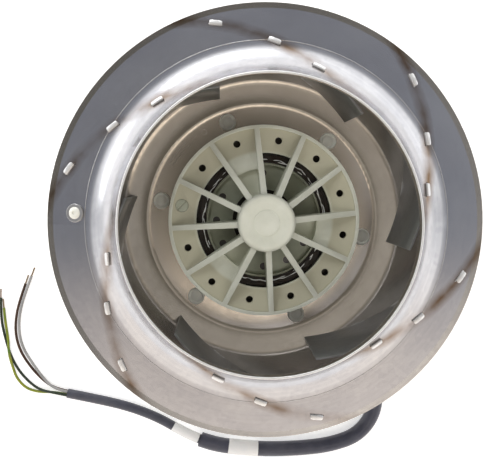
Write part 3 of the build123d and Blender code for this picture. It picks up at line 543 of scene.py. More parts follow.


# The blades' sheet: the same galvanised sheet as the plate, darkened as painted shade inside the channel under the
# shroud.
BLADE_SHADE_FINISH = SheetFinish(
    Slot.SHEET, (0.58, 0.59, 0.60), (0.50, 0.51, 0.52), 0.75, 0.26, 0.06, grain_scale=1800.0,
    grain_depth=0.000003, dust_cover=0.02, edge_colour=(0.74, 0.74, 0.74),
)
# A near-white copy of the sheet: painted highlight on the folded tabs and the collar's edge.
TAB_HIGHLIGHT_FINISH = SheetFinish(
    Slot.SHEET, (0.97, 0.97, 0.97), (0.92, 0.92, 0.92), 0.8, 0.40, 0.06, grain_scale=1800.0,
    grain_depth=0.000003, dust_cover=0.02, edge_colour=(0.98, 0.98, 0.98),
)
SHROUD_FINISH = ShroudFinish(
    Slot.SHEET, (0.81, 0.81, 0.82), (0.73, 0.73, 0.75), 1.0, 0.17, 0.05, grain_scale=1800.0,
    grain_depth=0.000003, dust_cover=0.03,
)
FINISHES: tuple[Finish, ...] = (
    SheetFinish(Slot.SHEET, (0.88, 0.85, 0.81), (0.79, 0.76, 0.72), 0.85, 0.17, 0.05, grain_scale=1800.0,
                grain_depth=0.000003, dust_cover=0.03),
    HousingFinish(Slot.HOUSING, (0.89, 0.90, 0.85), (0.84, 0.85, 0.79), 0.0, 0.36, 0.06, grain_depth=0.00002,
                  edge_colour=(0.95, 0.96, 0.92), dust_cover=0.06),
    SheetFinish(Slot.RIVET, (0.98, 0.98, 0.94), (0.93, 0.93, 0.90), 0.2, 0.36, 0.06),
    SheetFinish(Slot.ZINC, (0.80, 0.80, 0.80), (0.68, 0.68, 0.69), 1.0, 0.30, 0.08),
    Finish(Slot.LAMINATION, (0.42, 0.42, 0.44), (0.34, 0.33, 0.34), 1.0, 0.42, 0.08),
    MouldedFinish(Slot.CAST, (0.30, 0.29, 0.28), (0.24, 0.23, 0.22), 1.0, 0.55, 0.08, grain_depth=0.00006,
                  edge_colour=(0.36, 0.35, 0.34), dust_cover=0.0),
    Finish(Slot.BRIGHT, (0.78, 0.78, 0.78), (0.72, 0.72, 0.72), 1.0, 0.22, 0.05),
    Finish(Slot.SPRING, (0.55, 0.55, 0.57), (0.45, 0.45, 0.47), 1.0, 0.32, 0.05),
    Finish(Slot.BEARING, (0.76, 0.76, 0.77), (0.68, 0.68, 0.70), 1.0, 0.2, 0.04),
    Finish(Slot.WINDING, (0.10, 0.09, 0.09), (0.16, 0.11, 0.08), 0.0, 0.4, 0.1, mottle_scale=260.0, dust_cover=0.0),
    # The insulator's paler edge colour is partly rubbed wear and partly a painted highlight on its rims.
    MouldedFinish(Slot.INSULATOR, (0.74, 0.76, 0.69), (0.64, 0.66, 0.59), 0.0, 0.4, 0.08,
                  edge_colour=(0.92, 0.92, 0.86), dust_cover=0.05),
    MouldedFinish(Slot.BLACK, (0.09, 0.09, 0.10), (0.12, 0.12, 0.12), 0.0, 0.5, 0.08, edge_colour=(0.2, 0.2, 0.2)),
    Finish(Slot.RUBBER, (0.07, 0.07, 0.07), (0.10, 0.10, 0.10), 0.0, 0.68, 0.08),
    Finish(Slot.JACKET, (0.25, 0.26, 0.31), (0.30, 0.31, 0.36), 0.0, 0.42, 0.08, mottle_scale=180.0, dust_cover=0.04),
    Finish(Slot.SLEEVE, (0.23, 0.24, 0.30), (0.29, 0.30, 0.36), 0.0, 0.36, 0.08, mottle_scale=140.0, dust_cover=0.05),
    Finish(Slot.PAPER, (0.96, 0.96, 0.96), (0.92, 0.93, 0.94), 0.0, 0.55, 0.05, dust_cover=0.0),
    Finish(Slot.LEAD_GREEN, (0.13, 0.17, 0.12), (0.17, 0.22, 0.16), 0.0, 0.4, 0.08, dust_cover=0.0),
    Finish(Slot.LEAD_EARTH, (0.62, 0.62, 0.18), (0.30, 0.45, 0.17), 0.0, 0.4, 0.08, dust_cover=0.0),
    Finish(Slot.LEAD_GREY, (0.66, 0.66, 0.66), (0.58, 0.58, 0.58), 0.0, 0.4, 0.08, dust_cover=0.0),
    Finish(Slot.LEAD_BROWN, (0.24, 0.17, 0.13), (0.30, 0.21, 0.16), 0.0, 0.4, 0.08, dust_cover=0.0),
    Finish(Slot.COPPER, (0.80, 0.73, 0.64), (0.68, 0.60, 0.50), 1.0, 0.34, 0.08, dust_cover=0.0),
)


@dataclass
class FinishBook:
    """All the finishes as materials, by slot."""

    groups: GroupKit = field(default_factory=GroupKit)
    materials: dict[str, bpy.types.Material] = field(default_factory=dict)

    def __post_init__(self) -> None:
        """Build each finish."""
        for finish in FINISHES:
            self.materials[finish.slot.value] = finish.build(self.groups)
        self.materials["shroud_sheet"] = SHROUD_FINISH.build(self.groups)
        # The blades' darker sheet is painted shade.
        self.materials["blade_sheet"] = BLADE_SHADE_FINISH.build(self.groups)
        # Near-white sheet as a painted highlight on the tabs and the collar's edge.
        self.materials["tab_highlight_sheet"] = TAB_HIGHLIGHT_FINISH.build(self.groups)
        LOG.info("%d finishes", len(self.materials))

    def dress(self, piece: bpy.types.Object, slot: Slot | str) -> None:
        """Give a piece one finish all over."""
        name = slot.value if isinstance(slot, Slot) else slot
        if not piece.material_slots:
            piece.data.materials.append(self.materials[name])
            return
        for place in piece.material_slots:
            place.material = self.materials[name]


class Bench:
    """Modelling by Blender's operators, as by hand."""

    @staticmethod
    def clear() -> None:
        """Leave edit mode and select nothing."""
        if bpy.context.object and bpy.context.object.mode != "OBJECT":
            bpy.ops.object.mode_set(mode="OBJECT")
        bpy.ops.object.select_all(action="DESELECT")

    @staticmethod
    def edit(piece: bpy.types.Object) -> None:
        """Open a piece in edit mode with nothing selected in it."""
        Bench.clear()
        bpy.context.view_layer.objects.active = piece
        piece.select_set(True)
        bpy.ops.object.mode_set(mode="EDIT")
        bpy.ops.mesh.select_all(action="DESELECT")

    @staticmethod
    def pick_faces(piece: bpy.types.Object, wanted: Callable[[bmesh.types.BMFace], bool]) -> int:
        """Select the faces of a piece in edit mode that pass a test.

        Args:
            piece: The piece being edited.
            wanted: The test.

        Returns:
            How many faces are selected.
        """
        bpy.ops.mesh.select_mode(type="FACE")
        shape = bmesh.from_edit_mesh(piece.data)
        found = 0
        for face in shape.faces:
            face.select = wanted(face)
            found += face.select
        shape.select_flush_mode()
        bmesh.update_edit_mesh(piece.data)
        return found

    @staticmethod
    def apply(piece: bpy.types.Object, kind: str, **settings: object) -> None:
        """Add a modifier to a piece and apply it."""
        Bench.clear()
        bpy.context.view_layer.objects.active = piece
        piece.select_set(True)
        modifier = piece.modifiers.new(kind.lower(), kind)
        for name, value in settings.items():
            setattr(modifier, name, value)
        bpy.ops.object.modifier_apply(modifier=modifier.name)

    @staticmethod
    def settle(piece: bpy.types.Object, smooth_angle: float = 35.0) -> None:
        """Bring a piece's object to the origin with its place in its mesh, and smooth what bends gently."""
        Bench.clear()
        bpy.context.view_layer.objects.active = piece
        piece.select_set(True)
        bpy.ops.object.transform_apply(location=True, rotation=True, scale=True)
        bpy.ops.object.shade_smooth_by_angle(angle=math.radians(smooth_angle))

    @staticmethod
    def join(pieces: Sequence[bpy.types.Object], name: str) -> bpy.types.Object:
        """Join pieces into the first of them, under a new name."""
        Bench.clear()
        for piece in pieces:
            piece.select_set(True)
        bpy.context.view_layer.objects.active = pieces[0]
        if len(pieces) > 1:
            bpy.ops.object.join()
        pieces[0].name = name
        return pieces[0]

    @staticmethod
    def copy(piece: bpy.types.Object) -> bpy.types.Object:
        """A copy of a piece, with its own mesh."""
        twin = piece.copy()
        twin.data = piece.data.copy()
        bpy.context.scene.collection.objects.link(twin)
        return twin


    @staticmethod
    def turned(name: str, section: Sequence[tuple[float, float]], steps: int = 48) -> bpy.types.Object:
        """A round piece spun about +Z from a closed section.

        Args:
            name: Name of the piece.
            section: Radius and height of each corner, in metres.
            steps: Number of faces round it.

        Returns:
            The piece, upright at the origin.
        """
        Bench.clear()
        bpy.ops.mesh.primitive_circle_add(vertices=len(section), radius=1.0)
        piece = bpy.context.object
        piece.name = name
        for vertex, (radius, height) in zip(piece.data.vertices, section):
            vertex.co = (radius, 0.0, height)
        Bench.edit(piece)
        bpy.ops.mesh.select_all(action="SELECT")
        bpy.ops.mesh.spin(steps=steps, angle=2.0 * math.pi, center=(0.0, 0.0, 0.0), axis=(0.0, 0.0, 1.0))
        bpy.ops.mesh.select_all(action="SELECT")
        bpy.ops.mesh.remove_doubles(threshold=0.000002)
        bpy.ops.mesh.delete_loose(use_verts=True, use_edges=True, use_faces=False)
        bpy.ops.mesh.select_all(action="SELECT")
        bpy.ops.mesh.normals_make_consistent(inside=False)
        bpy.ops.object.mode_set(mode="OBJECT")
        return piece

    @staticmethod
    def stand(piece: bpy.types.Object, place: Vector, facing: Vector) -> None:
        """Put an upright piece at a place, with its top turned to face a way."""
        turn = Vector((0.0, 0.0, 1.0)).rotation_difference(facing)
        piece.matrix_world = Matrix.Translation(place) @ turn.to_matrix().to_4x4()

    @staticmethod
    def wire(name: str, points: Sequence[Vector], diameter: float, closed: bool, smooth: bool) -> bpy.types.Object:
        """A round wire or bead through points, as a mesh.

        Args:
            name: Name of the piece.
            points: Its points, in metres.
            diameter: Its thickness.
            closed: Whether its end joins its start.
            smooth: Whether it bends softly instead of in corners.

        Returns:
            The mesh object.
        """
        shape = bpy.data.curves.new(name, "CURVE")
        shape.dimensions = "3D"
        spline = shape.splines.new("NURBS" if smooth else "POLY")
        spline.points.add(len(points) - 1)
        for place, point in zip(spline.points, points):
            place.co = (*point, 1.0)
        spline.use_cyclic_u = closed
        if smooth:
            spline.order_u = 3
            spline.resolution_u = 4
        shape.bevel_depth = diameter / 2.0
        shape.bevel_resolution = 2
        shape.use_fill_caps = not closed
        piece = bpy.data.objects.new(name, shape)
        bpy.context.scene.collection.objects.link(piece)
        Bench.clear()
        piece.select_set(True)
        bpy.context.view_layer.objects.active = piece
        bpy.ops.object.convert(target="MESH")
        return bpy.context.object


class CordShape:
    """Lines and tubes of the cords."""

    @staticmethod
    def curve(name: str, points: Sequence[Vector], diameter: float, sides: int = 6) -> bpy.types.Object:
        """A round cord on one smooth spline whose control points are the route's.

        Args:
            name: Name of the piece.
            points: The route, in metres.
            diameter: Diameter of the cord; 0 makes the bare line.
            sides: Fineness of the round section.

        Returns:
            The curve object.
        """
        shape = bpy.data.curves.new(name, "CURVE")
        shape.dimensions = "3D"
        spline = shape.splines.new("NURBS")
        spline.points.add(len(points) - 1)
        for place, point in zip(spline.points, points):
            place.co = (*point, 1.0)
        spline.order_u = 3
        spline.use_endpoint_u = True
        spline.resolution_u = 14
        shape.resolution_u = 14
        shape.bevel_depth = diameter / 2.0
        shape.bevel_resolution = sides
        shape.use_fill_caps = diameter > 0.0
        piece = bpy.data.objects.new(name, shape)
        bpy.context.scene.collection.objects.link(piece)
        return piece

    @staticmethod
    def line(points: Sequence[Vector]) -> list[Vector]:
        """Points along the smooth spline of a route."""
        bare = CordShape.curve("route_line", points, 0.0)
        bpy.context.view_layer.update()
        mesh = bpy.data.meshes.new_from_object(bare)
        found = [vertex.co.copy() for vertex in mesh.vertices]
        bpy.data.meshes.remove(mesh)
        bpy.data.objects.remove(bare)
        return found

    @staticmethod
    def stretch(line: Sequence[Vector], start: Vector, end: Vector) -> list[Vector]:
        """The stretch of a line between its points nearest to a start and an end."""
        first = min(range(len(line)), key=lambda i: (line[i] - start).length)
        last = min(range(len(line)), key=lambda i: (line[i] - end).length)
        return list(line[first : last + 1])

    @staticmethod
    def tube(name: str, line: Sequence[Vector], radii: Sequence[float], sides: int = 24) -> bpy.types.Object:
        """A ring-shaped wall that follows a line, between an outer and an inner radius.

        Args:
            name: Name of the piece.
            line: Points it follows, in metres.
            radii: Outer and inner radius of the wall.
            sides: Number of faces round the tube.

        Returns:
            The mesh object.
        """
        outer, inner = radii
        shape = bmesh.new()
        rings: dict[float, list[list[bmesh.types.BMVert]]] = {}
        for radius in (outer, inner):
            rings[radius] = []
            for i, point in enumerate(line):
                along = (line[min(i + 1, len(line) - 1)] - line[max(i - 1, 0)]).normalized()
                side = along.cross(Vector((0.0, 0.0, 1.0))).normalized()
                up = side.cross(along)
                ring = []
                for k in range(sides):
                    angle = 2.0 * math.pi * k / sides
                    ring.append(shape.verts.new(point + (side * math.cos(angle) + up * math.sin(angle)) * radius))
                rings[radius].append(ring)
        for radius in (outer, inner):
            for first, second in zip(rings[radius], rings[radius][1:]):
                for k in range(sides):
                    shape.faces.new((first[k], first[(k + 1) % sides], second[(k + 1) % sides], second[k]))
        for end in (0, -1):
            for k in range(sides):
                shape.faces.new((
                    rings[outer][end][k], rings[outer][end][(k + 1) % sides],
                    rings[inner][end][(k + 1) % sides], rings[inner][end][k],
                ))
        bmesh.ops.recalc_face_normals(shape, faces=shape.faces)
        mesh = bpy.data.meshes.new(name)
        shape.to_mesh(mesh)
        shape.free()
        piece = bpy.data.objects.new(name, mesh)
        bpy.context.scene.collection.objects.link(piece)
        return piece


@dataclass
class SubAssembly:
    """Pieces of the fan that are made and dressed together."""

    nodes: dict[str, bpy.types.Object]
    book: FinishBook

    def keep(self, piece: bpy.types.Object, body: Body, slot: Slot, *replaced: str) -> bpy.types.Object:
        """Finish a piece: its material, slot, body and the solids that it stands for.

        Args:
            piece: The piece, in its place.
            body: The body that it rides on.
            slot: Its material slot.
            replaced: Names of the solids that it replaces.

        Returns:
            The piece.
        """
        self.book.dress(piece, slot)
        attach(piece, body.value)
        if replaced:
            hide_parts(*replaced)
        LOG.info("piece %s on %s", piece.name, body.value)
        return piece


@dataclass
class SupplyCable(SubAssembly):
    """Cable, open sleeve, blank labels, four leads and their bare tips."""

    diameter: float = 0.007
    length: float = 0.3379
    route: tuple[tuple[float, float, float], ...] = (
        (0.05172, -0.06619, 0.008), (0.06341, -0.08117, 0.008), (0.0765, -0.1015, 0.0074),
        (0.0860, -0.1240, 0.0066), (0.0862, -0.1470, 0.0061), (0.0735, -0.1650, 0.0059),
        (0.0520, -0.1722, 0.0059), (0.0300, -0.1744, 0.0059), (0.0080, -0.1749, 0.0059),
        (-0.0140, -0.1736, 0.0059), (-0.0360, -0.1704, 0.0059), (-0.0560, -0.1623, 0.0058),
        (-0.0760, -0.1506, 0.0040), (-0.0976, -0.1419, 0.0035), (-0.1210, -0.1359, 0.0035),
        (-0.1444, -0.1309, 0.0035),
    )
    sleeve_outer: float = 0.0056
    sleeve_inner: float = 0.0044
    label_wall: float = 0.0002
    label_gap: float = 0.00005
    lead_diameter: float = 0.002
    lead_offset: float = 0.00135
    lead_first_run: float = 0.010
    lead_floor: float = 0.00105
    tip_diameter: float = 0.0013
    tip_length: float = 0.007
    lead_lengths: tuple[float, ...] = (0.0993, 0.0959, 0.1043, 0.1006)

    def build(self) -> None:
        """Make the cable and all that is on it."""
        points = [Vector(point) for point in self.route]
        line = CordShape.line(points)
        cable = self.keep(CordShape.curve("supply_cable", points, self.diameter), Body.STATOR, Slot.JACKET, "cable")
        sleeve_start = points[2].lerp(points[3], 0.5)
        sleeve_end = points[10].lerp(points[11], 0.48)
        sleeve = CordShape.tube(
            "cable_tube", CordShape.stretch(line, sleeve_start, sleeve_end), (self.sleeve_outer, self.sleeve_inner), 32
        )
        Bench.settle(sleeve, 50.0)
        self.keep(sleeve, Body.STATOR, Slot.SLEEVE, "cable_sleeve")
        on_sleeve = self._label(
            "tube_label", line, points[8].lerp(points[9], 0.5), points[9].lerp(points[10], 0.5), self.sleeve_outer,
            "sleeve_label",
        )
        on_cable = self._label(
            "jacket_label", line, points[10].lerp(points[11], 0.52), points[11].lerp(points[12], 0.5),
            self.diameter / 2.0, "cable_label",
        )
        self._leads(points)

    def _label(
        self, name: str, line: Sequence[Vector], start: Vector, end: Vector, radius: float, node: str
    ) -> bpy.types.Object:
        """A blank paper wrap round a stretch of the cable or its sleeve.

        Args:
            name: Name of the piece.
            line: The cable's smooth line.
            start: Where the wrap starts.
            end: Where it ends.
            radius: Radius of what carries it.
            node: The solid that it replaces.

        Returns:
            The label.
        """
        inner = radius + self.label_gap
        wrap = CordShape.tube(name, CordShape.stretch(line, start, end), (inner + self.label_wall, inner), 32)
        Bench.settle(wrap, 50.0)
        return self.keep(wrap, Body.STATOR, Slot.PAPER, node)

    def _leads(self, cable: Sequence[Vector]) -> None:
        """Four leads that fan out of the cable's end, each with a bare tip.

        Args:
            cable: The cable's route.
        """
        floor = self.lead_floor
        heading = (cable[-1] - cable[-2]).normalized()
        side = Vector((-heading.y, heading.x, 0.0))
        corners = {
            "lead_1": (Slot.LEAD_GREEN, 1.0, 1.0, (
                (-0.1650, -0.1282, 0.0030), (-0.1735, -0.1226, floor), (-0.1815, -0.1130, floor),
                (-0.1870, -0.1015, floor), (-0.1906, -0.0880, floor), (-0.1933, -0.0735, floor),
                (-0.1929, -0.0590, floor),
            )),
            "lead_2": (Slot.LEAD_EARTH, 1.0, -1.0, (
                (-0.1656, -0.1304, floor), (-0.1756, -0.1276, floor), (-0.1826, -0.1196, floor),
                (-0.1850, -0.1110, 0.0016), (-0.1864, -0.1045, 0.0035), (-0.1874, -0.0980, 0.0035),
                (-0.1880, -0.0895, 0.0016), (-0.1900, -0.0775, floor), (-0.1908, -0.0665, floor),
            )),
            "lead_3": (Slot.LEAD_GREY, -1.0, 1.0, (
                (-0.1630, -0.1185, 0.0033), (-0.1715, -0.1070, floor), (-0.1776, -0.0965, floor),
                (-0.1802, -0.0840, floor), (-0.1792, -0.0705, floor), (-0.1755, -0.0575, floor),
                (-0.1699, -0.0430, floor),
            )),
            "lead_4": (Slot.LEAD_BROWN, -1.0, -1.0, (
                (-0.1636, -0.1209, floor), (-0.1730, -0.1099, floor), (-0.1800, -0.0980, floor),
                (-0.1829, -0.0845, floor), (-0.1816, -0.0706, floor), (-0.1780, -0.0585, floor),
                (-0.1744, -0.0485, floor),
            )),
        }
        tips = []
        for (name, (slot, across, above, bends)), length in zip(corners.items(), self.lead_lengths):
            start = cable[-1] + side * (across * self.lead_offset) + Vector((0.0, 0.0, above * self.lead_offset))
            route = [start, start + heading * self.lead_first_run, *[Vector(bend) for bend in bends]]
            lead = self.keep(CordShape.curve("core_" + name, route, self.lead_diameter, 4), Body.STATOR, slot, name)
            tips.append(self._tip(route[-2], route[-1]))
        self.keep(Bench.join(tips, "bare_tips"), Body.STATOR, Slot.COPPER, "lead_tips")

    def _tip(self, before: Vector, end: Vector) -> bpy.types.Object:
        """Twisted bare strands at the end of a lead.

        Args:
            before: The route's last point but one.
            end: The route's last point.

        Returns:
            The strands of one tip as one piece.
        """
        heading = (end - before).normalized()
        side = heading.cross(Vector((0.0, 0.0, 1.0))).normalized()
        up = side.cross(heading)
        strands = []
        strand_radius = self.tip_diameter / 6.0
        for k in range(7):
            ring = 0.0 if k == 6 else self.tip_diameter / 2.0 - strand_radius
            points = []
            for step in range(9):
                turn = math.radians(60.0 * k + 30.0 * step)
                along = heading * (self.tip_length * step / 8.0 - 0.0003)
                points.append(end + along + (side * math.cos(turn) + up * math.sin(turn)) * ring)
            strand = CordShape.curve("strand", points, strand_radius * 2.0, 1)
            Bench.clear()
            strand.select_set(True)
            bpy.context.view_layer.objects.active = strand
            bpy.ops.object.convert(target="MESH")
            strands.append(bpy.context.object)
        tip = Bench.join(strands, "tip")
        Bench.settle(tip, 60.0)
        return tip


@dataclass
class Impeller(SubAssembly):
    """Blades with folded tabs, rivets, balance weight and the mark pressed into the back plate."""

    shroud: ShroudForm = field(default_factory=ShroudForm)
    blade: BladeForm = field(default_factory=BladeForm)
    sheet: float = 0.0012
    sheet_gap: float = 0.00012
    collar_top: float = 0.135
    disc_bottom: float = 0.039
    disc_top: float = 0.0405
    front_height: float = 0.110
    front_reach: float = 0.0836
    tab_shares: tuple[float, ...] = (0.245, 0.494, 0.819)
    tab_half: float = 0.004
    tab_reach: float = 0.0028
    tab_root: float = 0.0034
    tab_bend: float = 0.0012
    fold_gap: float = 0.00035
    edge_round: float = 0.00022
    plate_top: float = 0.0345
    rivet_circle: float = 0.0716
    rivet_angle: float = 109.3
    rivet_count: int = 6
    balance_angle: float = 176.5
    balance_clearance: float = 0.0064

    def build(self) -> None:
        """Make the impeller's pieces."""
        self._blades()
        self._rivets()
        self._balance_weight()
        self._turning_mark()
        self._beads()

    def _beads(self) -> None:
        """The fine ridge where the cone turns into the flare, and the rounded edge of the collar."""
        radius, height = self.shroud.flare_start
        for name, reach, level, thickness, finish in (
            ("shroud_ridge", radius, height - 0.00012, 0.00032, "shroud_sheet"),
            # The collar's edge takes the near-white sheet as a painted highlight.
            ("collar_edge", self.shroud.inlet_radius - self.sheet / 2.0, self.collar_top - 0.00045, 0.00075, "tab_highlight_sheet"),
        ):
            Bench.clear()
            bpy.ops.mesh.primitive_torus_add(
                location=(0.0, 0.0, level), major_radius=reach, minor_radius=thickness,
                major_segments=160, minor_segments=10,
            )
            bead = bpy.context.object
            bead.name = name
            Bench.settle(bead, 60.0)
            self.keep(bead, Body.ROTOR, Slot.SHEET)
            self.book.dress(bead, finish)

    def _top_edge(self, radius: float) -> float:
        """Height of a blade's front edge at a radius."""
        depth = self.shroud.sheet + self.sheet_gap
        half_turn = (self.shroud.slope + math.pi / 2.0) / 2.0
        reach = self.shroud.flare_radius + depth
        shoulder = self.shroud.inlet_radius + self.shroud.flare_radius - reach * math.sin(half_turn)
        if radius >= shoulder:
            return self.shroud.height_at(radius, depth)
        share = (radius - self.front_reach) / (shoulder - self.front_reach)
        return self.front_height + (self.shroud.height_at(shoulder, depth) - self.front_height) * share

    def _blade_sheet(self) -> bpy.types.Object:
        """The curved sheet between the back plate and the shroud."""
        Bench.clear()
        bpy.ops.mesh.primitive_grid_add(x_subdivisions=36, y_subdivisions=2, size=1.0)
        piece = bpy.context.object
        floor = self.disc_top + self.sheet_gap
        for vertex in piece.data.vertices:
            foot = self.blade.point(vertex.co.x + 0.5)
            rise = (self._top_edge(foot.length) - floor) * (vertex.co.y + 0.5)
            vertex.co = (foot.x, foot.y, floor + rise)
        Bench.apply(piece, "SOLIDIFY", thickness=self.sheet, offset=0.0)
        Bench.apply(piece, "BEVEL", width=self.edge_round, segments=2, limit_method="ANGLE")
        return piece

    def _tab(self, radius: float, front: bool) -> bpy.types.Object:
        """A tab that comes through a slot and is folded over outwards.

        Args:
            radius: Radius at which it stands.
            front: Whether it is on the shroud, and not on the back plate.

        Returns:
            The tab.
        """
        foot = self.blade.point(self.blade.share_at(radius))
        spoke = (foot - self.blade.arc_centre(0)).normalized()
        along = Vector((-spoke.y, spoke.x, 0.0))
        if front:
            spot, facing = self.shroud.place(radius, math.degrees(math.atan2(foot.y, foot.x)))
            rise = Vector((0.0, 0.0, 1.0))
        else:
            spot, facing = Vector((foot.x, foot.y, self.disc_bottom)), Vector((0.0, 0.0, -1.0))
            rise = facing
        run = (along - facing * along.dot(facing)).normalized()
        out = run.cross(facing)
        out *= 1.0 if out.dot(spoke) > 0.0 else -1.0
        corner = spot + rise * ((self.fold_gap + self.sheet / 2.0) / facing.dot(rise))
        start, end = corner - rise * self.tab_bend, corner + out * self.tab_bend
        line = [corner - rise * self.tab_root, start]
        for share in (0.25, 0.5, 0.75):
            line.append(start.lerp(corner, share).lerp(corner.lerp(end, share), share))
        line.append(end)
        widths = [self.tab_half] * len(line)
        for reach, width in ((0.55, 1.0), (0.82, 0.88), (1.0, 0.62)):
            line.append(corner + out * (self.tab_bend + (self.tab_reach - self.tab_bend) * reach))
            widths.append(self.tab_half * width)
        Bench.clear()
        bpy.ops.mesh.primitive_grid_add(x_subdivisions=2, y_subdivisions=len(line) - 1, size=1.0)
        piece = bpy.context.object
        for vertex in piece.data.vertices:
            step = round((vertex.co.y + 0.5) * (len(line) - 1))
            vertex.co = line[step] + run * (vertex.co.x * 2.0 * widths[step])
        Bench.apply(piece, "SOLIDIFY", thickness=self.sheet, offset=0.0)
        Bench.apply(piece, "BEVEL", width=self.edge_round, segments=2, limit_method="ANGLE")
        return piece

    def _blades(self) -> None:
        """One blade with its tabs, and its copies round the axis."""
        tabs = []
        width = self.blade.outlet_radius - self.blade.inlet_radius
        for share in self.tab_shares:
            radius = self.blade.inlet_radius + width * share
            tabs += [self._tab(radius, True), self._tab(radius, False)]
        for k, (sheet, folds) in enumerate(zip(self._round(self._blade_sheet()), self._round(Bench.join(tabs, "tabs")))):
            sheet.name = f"curved_blade_{k + 1}"
            self.keep(sheet, Body.ROTOR, Slot.SHEET, f"blade_{k + 1}")
            # The blades take the darker sheet as painted shade.
            self.book.dress(sheet, "blade_sheet")
            folds.name = f"folded_tabs_{k + 1}"
            self.keep(folds, Body.ROTOR, Slot.SHEET)
            # The tabs take the near-white sheet as a painted highlight.
            self.book.dress(folds, "tab_highlight_sheet")

    def _round(self, first: bpy.types.Object) -> list[bpy.types.Object]:
        """A piece of the first blade and its copies for the other blades."""
        Bench.edit(first)
        bpy.ops.mesh.select_all(action="SELECT")
        bpy.ops.mesh.normals_make_consistent(inside=False)
        bpy.ops.object.mode_set(mode="OBJECT")
        pieces = [first] + [Bench.copy(first) for _ in range(self.blade.count - 1)]
        for k, piece in enumerate(pieces):
            piece.rotation_euler.z = -2.0 * math.pi * k / self.blade.count
            Bench.settle(piece)
        return pieces

    def _rivets(self) -> None:
        """Rivets with a raised rim round their heads, through the hub ring."""
        section = [
            (0.0, 1.15), (2.6, 1.15), (3.2, 0.75), (3.9, 0.75), (4.4, 1.45), (4.8, 1.6), (5.3, 1.55), (5.7, 1.2),
            (5.9, 0.6), (5.9, 0.0),
            (3.0, 0.0), (3.0, -5.0), (4.4, -5.0), (4.4, -6.3), (3.9, -6.8), (0.0, -6.8),
        ]
        first = Bench.turned("rivet", [(radius * MM, height * MM) for radius, height in section])
        rivets = [first] + [Bench.copy(first) for _ in range(self.rivet_count - 1)]
        for k, rivet in enumerate(rivets):
            rivet.location = polar(self.rivet_circle, self.rivet_angle + 360.0 * k / self.rivet_count, self.plate_top)
            Bench.settle(rivet)
        self.keep(Bench.join(rivets, "hub_rivets"), Body.ROTOR, Slot.RIVET, "impeller_rivets")

    def _balance_weight(self) -> None:
        """A washer and the blind rivet that holds it on the cone."""
        radius = self.shroud.flare_start[0] + self.balance_clearance
        place, facing = self.shroud.place(radius, self.balance_angle)
        washer_section = [(2.2, 0.05), (5.7, 0.02), (5.8, 0.2), (5.75, 0.85), (5.5, 1.02), (4.6, 1.0), (2.4, 0.98),
                          (2.2, 0.9)]
        rivet_section = [(0.0, 1.35), (0.9, 1.35), (1.0, 1.95), (1.5, 2.02), (2.6, 1.85), (3.4, 1.5), (3.8, 1.12),
                         (3.8, 1.02), (2.0, 1.02), (2.0, -1.3), (2.7, -1.3), (2.7, -4.1), (2.3, -4.3), (0.0, -4.3)]
        for name, section, slot, node in (
            ("weight_washer", washer_section, Slot.ZINC, "balance_washer"),
            ("weight_rivet", rivet_section, Slot.RIVET, "balance_rivet"),
        ):
            piece = Bench.turned(name, [(across * MM, height * MM) for across, height in section])
            Bench.stand(piece, place, facing)
            Bench.settle(piece)
            self.keep(piece, Body.ROTOR, slot, node)

    def _turning_mark(self) -> None:
        """The outline of an arrow and a small ring, raised on the hub ring."""
        height = self.plate_top + 0.0001
        outline = [polar(0.0755, 149.0 - 2.0 * step, height) for step in range(8)]
        outline += [polar(0.0772, 135.0, height), polar(0.0742, 128.5, height), polar(0.0708, 135.0, height)]
        outline += [polar(0.0728, 135.0 + 2.0 * step, height) for step in range(8)]
        arrow = Bench.wire("turning_arrow", outline, 0.0005, True, False)
        Bench.settle(arrow, 60.0)
        self.keep(arrow, Body.ROTOR, Slot.SHEET)
        Bench.clear()
        bpy.ops.mesh.primitive_torus_add(
            location=polar(0.0730, 123.5, height), major_radius=0.0019, minor_radius=0.00022,
            major_segments=28, minor_segments=8,
        )
        ring = bpy.context.object
        ring.name = "press_ring"
        Bench.settle(ring, 60.0)
        self.keep(ring, Body.ROTOR, Slot.SHEET)


